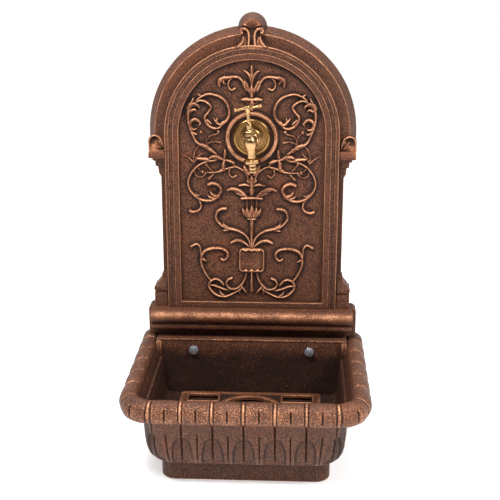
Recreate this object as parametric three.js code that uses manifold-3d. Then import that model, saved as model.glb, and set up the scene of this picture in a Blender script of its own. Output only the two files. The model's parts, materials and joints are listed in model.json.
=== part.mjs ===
// A cast wall fountain with a tap: an arched back plate with scroll ornament standing on the
// back ledge of a basin with a gadrooned rim, a brass tap on a round boss, a loose grate in the
// basin and the two screws that hold the basin to the wall.
//
// Millimetres. +Z is up, +X is to the right as the fountain is seen, and its front looks along
// -Y. The foot of the basin stands on z = 0. The pieces are drawn with the wall plane at y = 0,
// and the whole fountain is then moved back by half its depth, so that its origin is on the
// ground under its middle.
import * as THREE from 'three';
import * as BufferGeometryUtils from 'three/addons/utils/BufferGeometryUtils.js';
import Module from 'manifold-3d';

const wasm = await Module();
wasm.setup();

// Sizes of the back plate, from the wall plane forward and from the ground up

const plate_bottom_gap = 0.4;
const arch_springing = 550;
const arch_radius_back = 185;
const arch_radius_front = 173;
const arch_front = 28;
const shaft_half_width = 165;
const shaft_front = 25;
const frame_radius = 155;
const frame_front = 42;
const frame_bottom = 223;
const frame_groove_outer = 148.5;
const frame_groove_inner = 141;
const frame_groove_depth = 1.6;
const panel_radius = 130.5;
const panel_bottom = 235;
const panel_recess = 8;
const panel_bevel = 1.5;
const plate_wall = 6;
const plate_rim = 9;

// Sizes of the mouldings at the sides and at the foot of the plate

const capital_half_width = 186;
const capital_top = 519;
const capital_front = 38;
const plinth_half_width = 181;
const plinth_front = 38;
const shaft_overlap = 16;
const band_half_width = 187;
const band_slab_half_width = 195;
const band_slab_top = 222.5;
const band_slab_front = 28;
const band_roll_height = 209;
const band_roll_radius = 13;
const band_roll_front = 60;
const band_fillet_height = 188;
const band_foot_front = 13;

// Sizes of the keystone, whose barrel sits just below the crown of the arch

const keystone_below_crown = 2;
const keystone_height = arch_springing + arch_radius_back - keystone_below_crown;
const keystone_radius_back = 26;
const keystone_radius_front = 17.5;
const keystone_front = 43;
const keystone_waist_drop = 18;
const keystone_foot_drop = 31;

// Sizes of the ring boss and of the tap on it

const boss_height = 543.5;
const ring_radius = 43.6;
const ring_width = 7.4;
const ring_rise = 8;
const rosette_radius = 33.5;
const rosette_thickness = 7;
const rosette_seat = 0.4;
const tap_reach = 82;
const tap_lean_deg = 5;
const shank_radius = 10.2;
const shank_clearance = 0.9;
const shank_back_gap = 3;
const collar_radius = 13;
const collar_width = 8;
const neck_radius = 8.2;
const belly_radius = 11.2;
const spindle_radius = 3.2;
const spindle_clearance = 0.5;
const handle_length = 53;
const handle_height = 60;
const handle_turn_deg = 30;
const bonnet_flat_to_flat = 16.5;
const spout_radius = 7.4;
const union_radius = 15;
const union_height = 9.5;
const nozzle_radius = 7.4;
const nozzle_bore = 4.6;
const nozzle_length = 15;
const brass_gap = 0.4;

// Sizes of the basin

const basin_rim_top = 165;
const rim_outer_half_width = 210;
const rim_width = 32;
const rim_height = 38;
const rim_front = 339;
const rim_corner_radius = 62;
const rim_back_gap = 4;
const basin_wall = 6;
const basin_back_wall = 47;
const basin_floor_top = 56;
const basin_floor_round = 6;
const ledge_overlap = 4;
const foot_half_width = 144;
const foot_front = 280;
const foot_height = 34.5;
const foot_corner_radius = 26;
const foot_step = 2;
const gadroon_pitch = 51;
const gadroon_groove = 2.6;

// Sizes of the grate and of the screws

const grate_half_width = 130;
const grate_back = 66;
const grate_front = 224;
const grate_top = 64;
const grate_thickness = 4;
const grate_corner = 6;
const grate_border = 14;
const grate_slot_rows = 3;
const grate_slot_depth = 26;
const grate_slot_inner = 60;
const grate_slot_outer = 115;
const grate_slot_clear = 12;
const grate_edge_width = 3;
const grate_edge_rise = 1.5;
const grate_ring_radius = 59;
const grate_ring_width = 8;
const grate_ring_rise = 2.5;
const grate_pad_radius = 7;
const grate_pad_inset = 26;
const grate_pad_side_inset = 8;
const grate_gap = 0.4;
const screw_half_spacing = 108.3;
const screw_height = 142.4;
const screw_shank_radius = 4;
const screw_hole_clearance = 0.7;
const screw_head_flat_to_flat = 13;
const screw_head_height = 5.3;
const screw_washer_radius = 9;
const screw_washer_thickness = 1.8;
const screw_wall_gap = 1;

// Materials

const casting_paint = () => new THREE.MeshStandardMaterial({
  color: 0x6b4534, roughness: 0.5, metalness: 0.55,
});
const grate_paint = () => new THREE.MeshStandardMaterial({
  color: 0x5d3a2a, roughness: 0.55, metalness: 0.5,
});
const polished_brass = () => new THREE.MeshStandardMaterial({
  color: 0xd9b36a, roughness: 0.18, metalness: 1,
});
const zinc_steel = () => new THREE.MeshStandardMaterial({
  color: 0xb9bcc0, roughness: 0.35, metalness: 0.9,
});

// Solids: joining, cutting and lofting

const radians = THREE.MathUtils.degToRad;

function solid_of(geometry) {
  const bare = geometry.clone();
  bare.deleteAttribute('normal');
  bare.deleteAttribute('uv');
  const merged = BufferGeometryUtils.mergeVertices(bare, 1e-4);
  return new wasm.Manifold(new wasm.Mesh({
    numProp: 3,
    vertProperties: Float32Array.from(merged.attributes.position.array),
    triVerts: Uint32Array.from(merged.index.array),
  }));
}

function geometry_of(solid) {
  const mesh = solid.getMesh();
  const geometry = new THREE.BufferGeometry();
  geometry.setAttribute('position', new THREE.BufferAttribute(mesh.vertProperties, 3));
  geometry.setIndex(new THREE.BufferAttribute(mesh.triVerts, 1));
  geometry.computeVertexNormals();
  return geometry;
}

function join(solids) {
  return solids.reduce((whole, piece) => whole.add(piece));
}

// Skins a row of equal rings of points and closes both ends. An end is a fan, or where flat
// names the two axes it lies along, a triangulated outline.
function loft(rings, flat = null) {
  const count = rings[0].length;
  const last = (rings.length - 1) * count;
  const triangles = [];
  for (let ring = 0; ring < rings.length - 1; ring += 1) {
    for (let corner = 0; corner < count; corner += 1) {
      const a = ring * count + corner;
      const b = ring * count + ((corner + 1) % count);
      triangles.push(a, b, b + count, a, b + count, a + count);
    }
  }
  for (const [base, ring, forward] of [[0, rings[0], false], [last, rings.at(-1), true]]) {
    for (const [a, b, c] of end_faces(ring, flat)) {
      triangles.push(base + a, base + (forward ? b : c), base + (forward ? c : b));
    }
  }
  return outward(rings.flat(), triangles);
}

function end_faces(ring, flat) {
  if (flat === null) {
    return ring.slice(2).map((point, index) => [0, index + 1, index + 2]);
  }
  const outline = ring.map((point) => new THREE.Vector2(point[flat[0]], point[flat[1]]));
  const clockwise = THREE.ShapeUtils.isClockWise(outline);
  return THREE.ShapeUtils.triangulateShape(outline, []).map(([a, b, c]) => {
    const turned = THREE.ShapeUtils.isClockWise([outline[a], outline[b], outline[c]]);
    return turned === clockwise ? [a, b, c] : [a, c, b];
  });
}

// A closed solid from points and triangles, turned so that its faces look outward.
function outward(points, triangles) {
  let volume = 0;
  for (let at = 0; at < triangles.length; at += 3) {
    const [a, b, c] = [0, 1, 2].map((step) => points[triangles[at + step]]);
    volume += a.dot(new THREE.Vector3().crossVectors(b, c));
  }
  if (volume < 0) {
    triangles.reverse();
  }
  const geometry = new THREE.BufferGeometry().setFromPoints(points);
  geometry.setIndex(triangles);
  return solid_of(geometry);
}

const vector = (x, y, z) => new THREE.Vector3(x, y, z);

// A solid of an outline in x and z, from one depth to another in front of the wall plane. The
// front outline may differ, which gives the sides their slope.
function slab(outline, back, front, front_outline = outline) {
  const ring = (points, depth) => points.map(([x, z]) => vector(x, -depth, z));
  return loft([ring(outline, back), ring(front_outline, front)], ['x', 'z']);
}

// A moulding that runs along x, from its outline in depth and height.
function moulding(outline, half_width, half_width_front = half_width) {
  const deepest = Math.max(...outline.map(([depth]) => depth));
  const ring = (side) => outline.map(([depth, z]) => vector(
    side * THREE.MathUtils.mapLinear(depth, 0, deepest, half_width, half_width_front), -depth, z,
  ));
  return loft([ring(-1), ring(1)], ['y', 'z']);
}

// A turned solid. axis is the way its profile's second value runs.
function turned(profile, sides, axis = 'z') {
  const points = profile.map(([radius, along]) => new THREE.Vector2(radius, along));
  const geometry = new THREE.LatheGeometry(points, sides);
  if (axis === 'z') {
    geometry.rotateX(Math.PI / 2);
  } else {
    geometry.rotateX(Math.PI);
  }
  return outward_lathe(geometry);
}

function outward_lathe(geometry) {
  const bare = geometry.clone();
  bare.deleteAttribute('normal');
  bare.deleteAttribute('uv');
  const merged = BufferGeometryUtils.mergeVertices(bare, 1e-3);
  const position = merged.attributes.position;
  const points = Array.from({ length: position.count }, (unused, index) => (
    new THREE.Vector3().fromBufferAttribute(position, index)
  ));
  const triangles = [];
  for (let at = 0; at < merged.index.count; at += 3) {
    const corners = [0, 1, 2].map((step) => merged.index.getX(at + step));
    if (new Set(corners).size === 3) {
      triangles.push(...corners);
    }
  }
  return outward(points, triangles);
}

const rod = (radius, from, to, sides, axis) => turned(
  [[0, from], [radius, from], [radius, to], [0, to]], sides, axis,
);

const moved = (solid, x, y, z) => solid.translate([x, y, z]);

function both_sides(solid) {
  return [solid, solid.mirror([1, 0, 0])];
}

// Outlines

// A round-headed outline: up one side, over the arch and down to a level foot.
function arched(radius, foot, steps = 16) {
  const points = [];
  for (let step = 0; step <= steps; step += 1) {
    const angle = (Math.PI * step) / steps;
    points.push([radius * Math.cos(angle), arch_springing + radius * Math.sin(angle)]);
  }
  return [...points, [-radius, foot], [radius, foot]];
}

// The points of a round or spiral turn about a centre, from one radius and angle to another.
function turn(x, z, start_radius, end_radius, start_deg, end_deg, steps = 5) {
  return Array.from({ length: steps + 1 }, (unused, step) => {
    const share = step / steps;
    const radius = THREE.MathUtils.lerp(start_radius, end_radius, share);
    const angle = radians(THREE.MathUtils.lerp(start_deg, end_deg, share));
    return [x + radius * Math.cos(angle), z + radius * Math.sin(angle)];
  });
}

// The back plate's body: arch, shafts, frame and sunk panel

const plate_bottom = basin_rim_top + plate_bottom_gap;
const panel_front = frame_front - panel_recess;

function plate_body() {
  const arch = slab(arched(arch_radius_back, capital_top - 10), 0, arch_front,
    arched(arch_radius_front, capital_top - 10));
  const shaft_outline = (half_width) => [
    [-half_width, plate_bottom], [half_width, plate_bottom],
    [half_width, capital_top], [-half_width, capital_top],
  ];
  const shaft = slab(shaft_outline(shaft_half_width), 0, shaft_front);
  const frame = slab(arched(frame_radius, frame_bottom), 0, frame_front);
  const groove = slab(arched(frame_groove_outer, frame_bottom + frame_radius - frame_groove_outer),
    frame_front - frame_groove_depth, frame_front + 1)
    .subtract(slab(arched(frame_groove_inner, frame_bottom + frame_radius - frame_groove_inner),
      0, frame_front + 2));
  const panel = slab(arched(panel_radius - panel_bevel, panel_bottom + panel_bevel), panel_front,
    frame_front + 0.01, arched(panel_radius, panel_bottom));
  return join([arch, shaft, frame]).subtract(groove).subtract(panel);
}

// The stepped mouldings of a capital and of a plinth, as outlines of the right-hand side

const inside_frame = shaft_half_width - shaft_overlap;

function capital() {
  const neck = shaft_half_width;
  const steps = [
    [inside_frame, capital_top - 52], [neck, capital_top - 50], [neck + 4, capital_top - 43],
    [neck + 5, capital_top - 33], [neck + 9, capital_top - 30], [neck + 9.5, capital_top - 22],
    [neck + 14, capital_top - 18], [capital_half_width, capital_top - 14],
    [capital_half_width, capital_top - 2], [capital_half_width - 2, capital_top],
    [inside_frame, capital_top],
  ];
  const scroll_centre = [capital_half_width - 13, capital_top + 11];
  const scroll_block = slab([
    [inside_frame, capital_top - 4], [capital_half_width - 1, capital_top - 4],
    ...turn(...scroll_centre, 13, 13, 0, 180, 6), [inside_frame, capital_top + 11],
  ], 0, capital_front - 5);
  const scroll = strand(
    [...turn(...scroll_centre, 10.5, 10.5, 200, 0, 6), [scroll_centre[0] + 9, capital_top + 2]],
    [4, 5, 4], 4, capital_front - 5,
  );
  const eye = rod(4.6, 0, capital_front, 8, 'y');
  const leaf = strand(
    [[scroll_centre[0] - 8, capital_top + 2], [scroll_centre[0] + 3, capital_top + 9]],
    [3, 6, 2], 3, capital_front - 5,
  );
  return join([
    slab(steps, 0, capital_front), scroll_block, scroll,
    moved(eye, scroll_centre[0] + 2, 0, scroll_centre[1] + 1), leaf,
  ]);
}

function plinth() {
  const half_width = plinth_half_width;
  const steps = [
    [inside_frame, band_slab_top - 11], [half_width, band_slab_top - 11],
    [half_width, 251], [half_width - 3, 252.5], [half_width + 0.5, 254.5],
    [half_width + 0.5, 261], [half_width - 3, 265], [half_width - 8, 271],
    [half_width - 12, 276], [half_width - 12.5, 283], [shaft_half_width, 286],
    [shaft_half_width - 2, 292], [inside_frame, 292],
  ];
  return slab(steps, 0, plinth_front);
}

// The band at the foot of the plate: a rounded slab at the wall, and in front of it a roll
// between a cove and a fillet

function band() {
  const corner = 10;
  const shoulder = turn(band_slab_half_width - corner, band_slab_top - corner, corner, corner, 0, 90, 4);
  const slab_outline = [
    [band_slab_half_width, plate_bottom], ...shoulder,
    ...shoulder.map(([x, z]) => [-x, z]).reverse(), [-band_slab_half_width, plate_bottom],
  ];
  const roll_centre = band_roll_front - band_roll_radius;
  const roll = turn(roll_centre, band_roll_height, band_roll_radius, band_roll_radius, -76, 86, 7);
  const profile = [
    [0, plate_bottom], [band_foot_front, plate_bottom], [band_foot_front, band_fillet_height - 7],
    [roll_centre, band_fillet_height - 5], [roll_centre + 4, band_fillet_height - 1.5],
    [roll_centre + 4, band_fillet_height + 4], [roll_centre + 1, band_fillet_height + 7.5],
    ...roll, [frame_front - 1, frame_bottom + 1], [0, frame_bottom + 1],
  ];
  return [slab(slab_outline, 0, band_slab_front), moulding(profile, band_half_width)];
}

// The keystone: a barrel through the arch, and two scrolls back to back on its front

function keystone() {
  const round = (radius) => Array.from({ length: 14 }, (unused, step) => {
    const angle = (2 * Math.PI * step) / 14;
    return [radius * Math.cos(angle), keystone_height + radius * Math.sin(angle)];
  });
  const barrel = slab(round(keystone_radius_back), 0, keystone_front, round(keystone_radius_front));
  const foot = keystone_height - keystone_foot_drop;
  const waist = keystone_height - keystone_waist_drop;
  const block_front = keystone_front - 4.5;
  const block = slab([
    [-23, foot], [23, foot], [12, foot + 10], [7, waist + 5], [17, keystone_height],
    [-17, keystone_height], [-7, waist + 5], [-12, foot + 10],
  ], 0, block_front);
  const scroll = strand([
    ...turn(13.6, keystone_height - 2.5, 1.6, 5.4, -60, 180, 6), [5.6, keystone_height - 9],
    [4.4, waist], [11, foot + 1.5],
  ], [3, 4.6, 3], 4, block_front, 8);
  const leaf = strand([[9, waist + 6], [14, waist - 2], [23, foot]], [2.6, 8, 2.6], 4.4, block_front);
  return [barrel, block, ...both_sides(scroll), ...both_sides(leaf)];
}

// Relief. A strand follows points in x and z on a ground at a given depth; its width runs from
// the first value through the middle one to the last.
function strand(points, widths, rise, ground, step = 23) {
  const curve = new THREE.SplineCurve(points.map(([x, z]) => new THREE.Vector2(x, z)));
  const steps = Math.max(2, Math.round(curve.getLength() / step));
  const width_at = new THREE.SplineCurve(widths.map((width, index) => (
    new THREE.Vector2(index / (widths.length - 1), width)
  )));
  const slender = Math.max(...widths) < 7;
  const rings = [];
  for (let at = 0; at <= steps; at += 1) {
    const share = at / steps;
    const point = curve.getPointAt(share);
    const along = curve.getTangentAt(share);
    const half = Math.max(width_at.getPoint(share).y, 1) / 2;
    const height = rise * Math.min(1, half / 2);
    const corner = (across, depth) => vector(
      point.x - along.y * across, -(ground + depth), point.y + along.x * across,
    );
    const crest = slender ? [corner(0, height)]
      : [corner(-half * 0.45, height), corner(half * 0.45, height)];
    rings.push([corner(-half, -1), ...crest, corner(half, -1)]);
  }
  return loft(rings);
}

// A bud: a low ridged drop, longer than it is wide.
const bud = (x, z, width, length, rise) => strand(
  [[x, z - length / 2], [x, z], [x, z + length / 2]], [1.2, width, 1.2], rise, panel_front, length / 4,
);

const ball = (x, z, radius) => moved(
  turned([[0, -1], [radius, -1], [radius * 0.7, radius * 0.8], [0, radius * 0.9]], 6, 'y'),
  x, -panel_front, z,
);

// The strands of the ornament's left half. Each has its way, its three widths and its rise.
function half_ornament() {
  const stem = 4.6;
  const twig = 3.4;
  const ways = [
    // the crowning fleuron with its two arms
    [[[-1, 640], [-4, 653], [-16, 662]], [2, 5, 1], 4],
    [[[-1, 620], [-8, 633], [-12, 644]], [3, 7, 2], 5],
    [[[-10, 628], [-17, 643], [-27, 650], [-42, 649], [-53, 645], [-55, 634]], [4, 5, 8], 5],
    [[[-33, 648], ...turn(-33, 635, 9, 4.5, 140, 340, 4)], [twig, twig, 2], 3.5],
    [[[0, 612], [-8, 613], [-16, 610]], [4, 6, 5], 5],
    // the upper scroll
    [[[-98, 609], ...turn(-68, 590.5, 30, 28.5, 125, -52, 5), [-61, 569], [-67, 577]], [5, 5.5, 3], 5],
    [[[-97, 607], ...turn(-82.5, 596.5, 10, 10.5, 85, -35, 3), ...turn(-63, 579.5, 19, 16.5, 165, 312, 4)],
      [3, 5.5, 4], 5],
    // the stem that carries it, with its leaves and twigs
    [[[-99, 609], [-109, 593], [-112, 578], [-106, 552], [-91, 530], [-61, 513]], [4, 5.5, 2], 5],
    [[[-108, 597], [-101, 601], [-93, 593]], [9, 8, 1], 4.5],
    [[[-108, 565], ...turn(-99, 566, 8, 8, 160, 20, 3)], [2, 6, 3], 4.5],
    [[[-81, 528], [-79, 543], [-87, 550]], [twig, twig, 5], 3.5],
    [[[-120, 509], [-111, 505], [-102, 497], [-95, 509], [-88, 514]], [2, twig, 2], 3],
    // the flower between the scrolls
    [[[-49, 504], [-48, 519]], [4, 8, 3], 5],
    [[[-49, 504], [-51, 491]], [4, 9, 5], 5],
    [[[-49, 503], [-36, 499]], [4, 8, 3], 5],
    [[[-50, 504], [-69, 506]], [3, 9, 3], 5],
    [[[-93, 504], [-83, 503], [-66, 500]], [7, 5, 4], 4],
    // the lower scroll with its tail
    [[...turn(-78, 464, 36, 36.5, 78, 285, 7), ...turn(-69, 443, 13, 12, -40, 60, 3), [-78, 455]],
      [3.4, 5.5, 7], 5],
    [[[-63, 432], [-73, 437], [-72, 446]], [6, 8, 2], 4.5],
    [[[-98, 432], [-92, 421], [-96, 408], [-111, 406]], [3, 4, 6], 4],
    // the middle stem and its branch
    [[[-6, 468], [-12, 483], [-24, 489], [-36, 499], [-46, 503]], [4, 4, 7], 4.5],
    [[[-20, 487], [-38, 488], [-53, 482], [-66, 479], [-84, 479], [-94, 472], [-101, 482]],
      [twig, 4, twig], 4],
    [[[-37, 487], ...turn(-31, 479, 7, 6, 160, 330, 3)], [2.5, twig, twig], 3.5],
    // the leaves under the buds and above the torch
    [[[-3, 456], [-12, 458], [-21, 456]], [3, 6, 3], 5],
    [[[-8, 437], [-19, 446], [-30, 448], [-42, 442]], [3, 7, 7], 5],
    // the arms that spring from the basket
    [[[-2, 341], [-6, 357], [-15, 367], [-29, 373], [-46, 375], [-59, 385], [-65, 397], [-60, 408],
      [-48, 412]], [3, 5, 6.5], 5],
    [[[-37, 373], [-55, 371]], [4, 7, 2], 4.5],
    [[[-5, 342], [-14, 349], [-24, 352], [-34, 349]], [3, 5, 7], 4.5],
    // the scrollwork below the basket
    [[[-8, 294], [-13, 278], [-22, 264], [-33, 259], [-43, 262], [-47, 271], [-37, 280]],
      [4, 4.5, 5], 4.5],
    [[[-20, 259], [-34, 251], [-50, 244], [-66, 248], [-77, 259], [-77, 271], [-66, 278], [-53, 269]],
      [twig, 4.5, 5], 4.5],
    [[[-44, 257], [-60, 261], [-76, 265]], [twig, 4, twig], 4],
    [[[-50, 244], [-59, 249], [-61, 256]], [twig, 4, 2], 4],
    [[[-75, 279], [-88, 294], [-92, 315], [-86, 332], [-66, 337], [-48, 333], [-45, 322], [-54, 316]],
      [twig, 5.5, 5], 5],
    [[[-93, 322], [-93, 339], [-101, 345], [-111, 339]], [twig, 4, 5], 4],
  ];
  return [
    ...ways.map(([points, widths, rise]) => strand(points, widths, rise, panel_front)),
    ball(-87, 551, 3.4),
  ];
}

// The pieces of the ornament on the centre line, from its crown down to the drop
function centre_ornament() {
  const collar = (z, half_width, height) => slab([
    [-half_width, z], [half_width, z], [half_width - 1, z + height], [1 - half_width, z + height],
  ], panel_front - 1, panel_front + 5);
  const torch_columns = [-8, 0, 8].map((x) => strand(
    [[x * 0.9, 409], [x, 431]], [3, 3, 3], 3.5, panel_front,
  ));
  const cup_leaves = [-16, -8, 8, 16].map((x) => strand(
    [[x * 0.3, 399], [x * 0.8, 403], [x, 413]], [5, 8, 2], 5.5, panel_front,
  ));
  return [
    bud(0, 663, 8, 18, 6), bud(0, 640, 5, 20, 5), bud(0, 624, 11, 22, 6.5), bud(0, 600, 10, 14, 6),
    bud(0, 465, 13, 16, 6), bud(0, 449, 10, 14, 6),
    collar(430, 17, 5), ...torch_columns, bud(0, 407, 12, 18, 7), ...cup_leaves, collar(392, 7, 4),
    strand([[0, 394], [0, 368], [0, 341]], [8, 6, 4], 5, panel_front, 26),
    bud(0, 274, 8, 40, 5.5),
  ];
}

// The lattice basket: a rounded square with a rim, crossed by slanting bars
function basket() {
  const half = 23;
  const centre = 315;
  const corner = 8;
  const rounded = (size) => [0, 90, 180, 270].flatMap((start) => {
    const reach = size - corner;
    const [x, z] = [Math.sign(Math.cos(radians(start + 45))), Math.sign(Math.sin(radians(start + 45)))];
    return turn(x * reach, centre + z * reach, corner, corner, start, start + 90, 2);
  });
  const rim = slab(rounded(half), panel_front - 1, panel_front + 5.5)
    .subtract(slab(rounded(half - 4), panel_front + 1.5, panel_front + 7));
  const spacing = 14;
  const bars = [-1, 0, 1].flatMap((place) => both_sides(strand(
    [[-half + place * spacing, centre - half], [half + place * spacing, centre + half]],
    [2.4, 2.4, 2.4], 3.4, panel_front, 99,
  ))).map((bar) => bar.intersect(slab(rounded(half - 2), panel_front - 1, panel_front + 4)));
  return [rim, ...bars];
}

// The raised ring round the tap
function boss() {
  const half = ring_width / 2;
  const profile = [
    [ring_radius - half, -2], [ring_radius - half, ring_rise * 0.6],
    [ring_radius - half * 0.4, ring_rise], [ring_radius + half * 0.4, ring_rise],
    [ring_radius + half, ring_rise * 0.5], [ring_radius + half, -2], [ring_radius - half, -2],
  ];
  return moved(turned(profile, 20, 'y'), 0, -panel_front, boss_height);
}

function back_plate() {
  const pocket = slab(arched(arch_radius_back - plate_rim, capital_top), -1, arch_front - plate_wall);
  const lower_pocket_half = shaft_half_width - plate_rim;
  const lower_pocket = slab([
    [-lower_pocket_half, frame_bottom - 25], [lower_pocket_half, frame_bottom - 25],
    [lower_pocket_half, capital_top + 1], [-lower_pocket_half, capital_top + 1],
  ], -1, shaft_front - plate_wall);
  const inlet = moved(rod(shank_radius + shank_clearance, -1, frame_front + 20, 14, 'y'), 0, 0, boss_height);
  const ornament = [
    ...half_ornament().flatMap(both_sides), ...centre_ornament(), ...basket(), boss(),
  ];
  return join([
    plate_body(), ...both_sides(capital()), ...both_sides(plinth()), ...band(), ...keystone(),
    ...ornament,
  ]).subtract(pocket).subtract(lower_pocket).subtract(inlet);
}

// The basin's plan at a height: half width, front and corner radius. It draws in towards the
// foot along one curve.

const inner_half_width = rim_outer_half_width - rim_width;
const body_top = basin_rim_top - 15;
const rim_low = basin_rim_top - rim_height;
const side_draft = 8;
const side_draw_in = 19.5;
const front_draft = 10;
const front_draw_in = 34;
const draw_in_power = 10;
const reference_height = 90;
const body_levels = [0, 5, 12, 24, 42].map((rise) => foot_height + rise);
const body_full = body_levels.at(-1);

function plan(z, wall = 0) {
  const share = THREE.MathUtils.clamp((body_top - z) / (body_top - foot_height), 0, 1);
  const drawn = share ** draw_in_power;
  return {
    half_width: foot_half_width + foot_step + side_draft * (1 - share) + side_draw_in * (1 - drawn) - wall,
    front: foot_front + foot_step + front_draft * (1 - share) + front_draw_in * (1 - drawn) - wall,
    corner: foot_corner_radius + side_draw_in * 1.2 * (1 - drawn * 0.8) - wall * 0.6,
  };
}

// A U-shaped outline open at the back, closed by its straight back line.
function basin_outline({ half_width, front, corner }, back, z, steps = 6) {
  const arc = turn(half_width - corner, -(front - corner), corner, corner, 0, -90, steps);
  return [
    vector(half_width, -back, z), ...arc.map(([x, y]) => vector(x, y, z)),
    ...arc.map(([x, y]) => vector(-x, y, z)).reverse(), vector(-half_width, -back, z),
  ];
}

// A point of the basin's side: s runs along the reference plan from the middle of the front,
// positive towards +X, and out is the distance off the surface.
function side_point(s, z, out) {
  const here = plan(z);
  const reference = plan(reference_height);
  const straight = reference.half_width - reference.corner;
  const bend = (Math.PI / 2) * reference.corner;
  const side = Math.sign(s) || 1;
  const distance = Math.abs(s);
  if (distance <= straight) {
    return vector((s * (here.half_width - here.corner)) / straight, -(here.front + out), z);
  }
  if (distance <= straight + bend) {
    const angle = (distance - straight) / reference.corner;
    const radius = here.corner + out;
    return vector(
      side * (here.half_width - here.corner + radius * Math.sin(angle)),
      -(here.front - here.corner + radius * Math.cos(angle)), z,
    );
  }
  const back = distance - straight - bend;
  const scale = (here.front - here.corner) / (reference.front - reference.corner);
  return vector(side * (here.half_width + out), -(here.front - here.corner - back * scale), z);
}

// A hollow cut into the side along a line of heights: half widths at each height and a depth.
function side_cut(s, levels, depth) {
  return loft(levels.map(([z, half]) => [
    side_point(s - half, z, -depth), side_point(s + half, z, -depth),
    side_point(s + half, z, 4), side_point(s - half, z, 4),
  ]));
}

// A thin V-shaped slit down the side.
function side_slit(s, low, high, half, depth) {
  return loft([low, body_levels[3], body_full, high].map((z) => [
    side_point(s, z, -depth), side_point(s + half * 2, z, 3), side_point(s - half * 2, z, 3),
  ]));
}

// Waterleaf: pointed arches sunk into the side, each with a slit for its midrib, and a short
// slit between neighbours
function waterleaf_cuts() {
  const leaf_foot = 48;
  const leaf_tip = 106;
  const leaf_half = 18;
  const leaves_each_side = 8;
  const slits_each_side = 4;
  const cuts = [];
  for (let place = -leaves_each_side; place <= leaves_each_side; place += 1) {
    const s = place * gadroon_pitch;
    cuts.push(side_cut(s, [
      [leaf_foot, leaf_half * 0.9], [body_levels[3], leaf_half], [body_full, leaf_half * 0.93],
      [leaf_tip, 0.5],
    ], 2));
    cuts.push(side_slit(s, leaf_foot - 2, 124, 1.4, 3.6));
    if (place >= -slits_each_side && place < slits_each_side) {
      cuts.push(side_slit(s + gadroon_pitch / 2, leaf_foot, 112, 1.2, 3));
    }
  }
  return cuts;
}

// The rolled rim follows a U round the basin, and is nicked at every pitch of its gadroons.
function rim() {
  const middle = rim_width / 2;
  const half_width = rim_outer_half_width - middle;
  const front = rim_front - middle;
  const corner = rim_corner_radius - middle;
  const straight = half_width - corner;
  const bend = (Math.PI / 2) * corner;
  const end = straight + bend + front - corner - rim_back_gap;
  const nick = gadroon_groove;
  const stations = [];
  for (let place = 0; place * gadroon_pitch < end + gadroon_pitch; place += 1) {
    const s = place * gadroon_pitch;
    stations.push([s - nick, 0], [s, 1], [s + nick, 0]);
    const bends = s + gadroon_pitch > straight && s < straight + bend;
    for (const share of bends ? [0.35, 0.65] : []) {
      stations.push([s + share * gadroon_pitch, 0]);
    }
  }
  const half = [...stations.filter(([s]) => s > 0 && s < end - 1), [end, 0]];
  const all = [...half.map(([s, depth]) => [-s, depth]).reverse(), [0, 1], ...half];
  const section = [
    [-0.25, 0.24], [0, 0.24], [0.22, 0.03], [0.7, 0.05], [1, 0.4], [0.97, 0.71], [0.69, 1], [-0.25, 1],
  ].map(([across, drop]) => [across * rim_width, -drop * rim_height]);
  const heart = [rim_width * 0.375, -rim_height / 2];
  const rings = all.map(([s, depth]) => section.map(([u, drop]) => {
    const arm = [u - heart[0], drop - heart[1]];
    const shrink = u <= 0 ? 0 : (depth * gadroon_groove) / Math.hypot(...arm);
    const across = heart[0] + arm[0] * (1 - shrink) - middle;
    const z = basin_rim_top + (u <= 0 ? drop : heart[1] + arm[1] * (1 - shrink));
    const side = Math.sign(s) || 1;
    const distance = Math.abs(s);
    if (distance <= straight) {
      return vector(s, -(front + across), z);
    }
    if (distance <= straight + bend) {
      const angle = (distance - straight) / corner;
      const radius = corner + across;
      return vector(
        side * (straight + radius * Math.sin(angle)), -(front - corner + radius * Math.cos(angle)), z,
      );
    }
    return vector(side * (half_width + across), -(front - corner - (distance - straight - bend)), z);
  }));
  return loft(rings);
}

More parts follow.
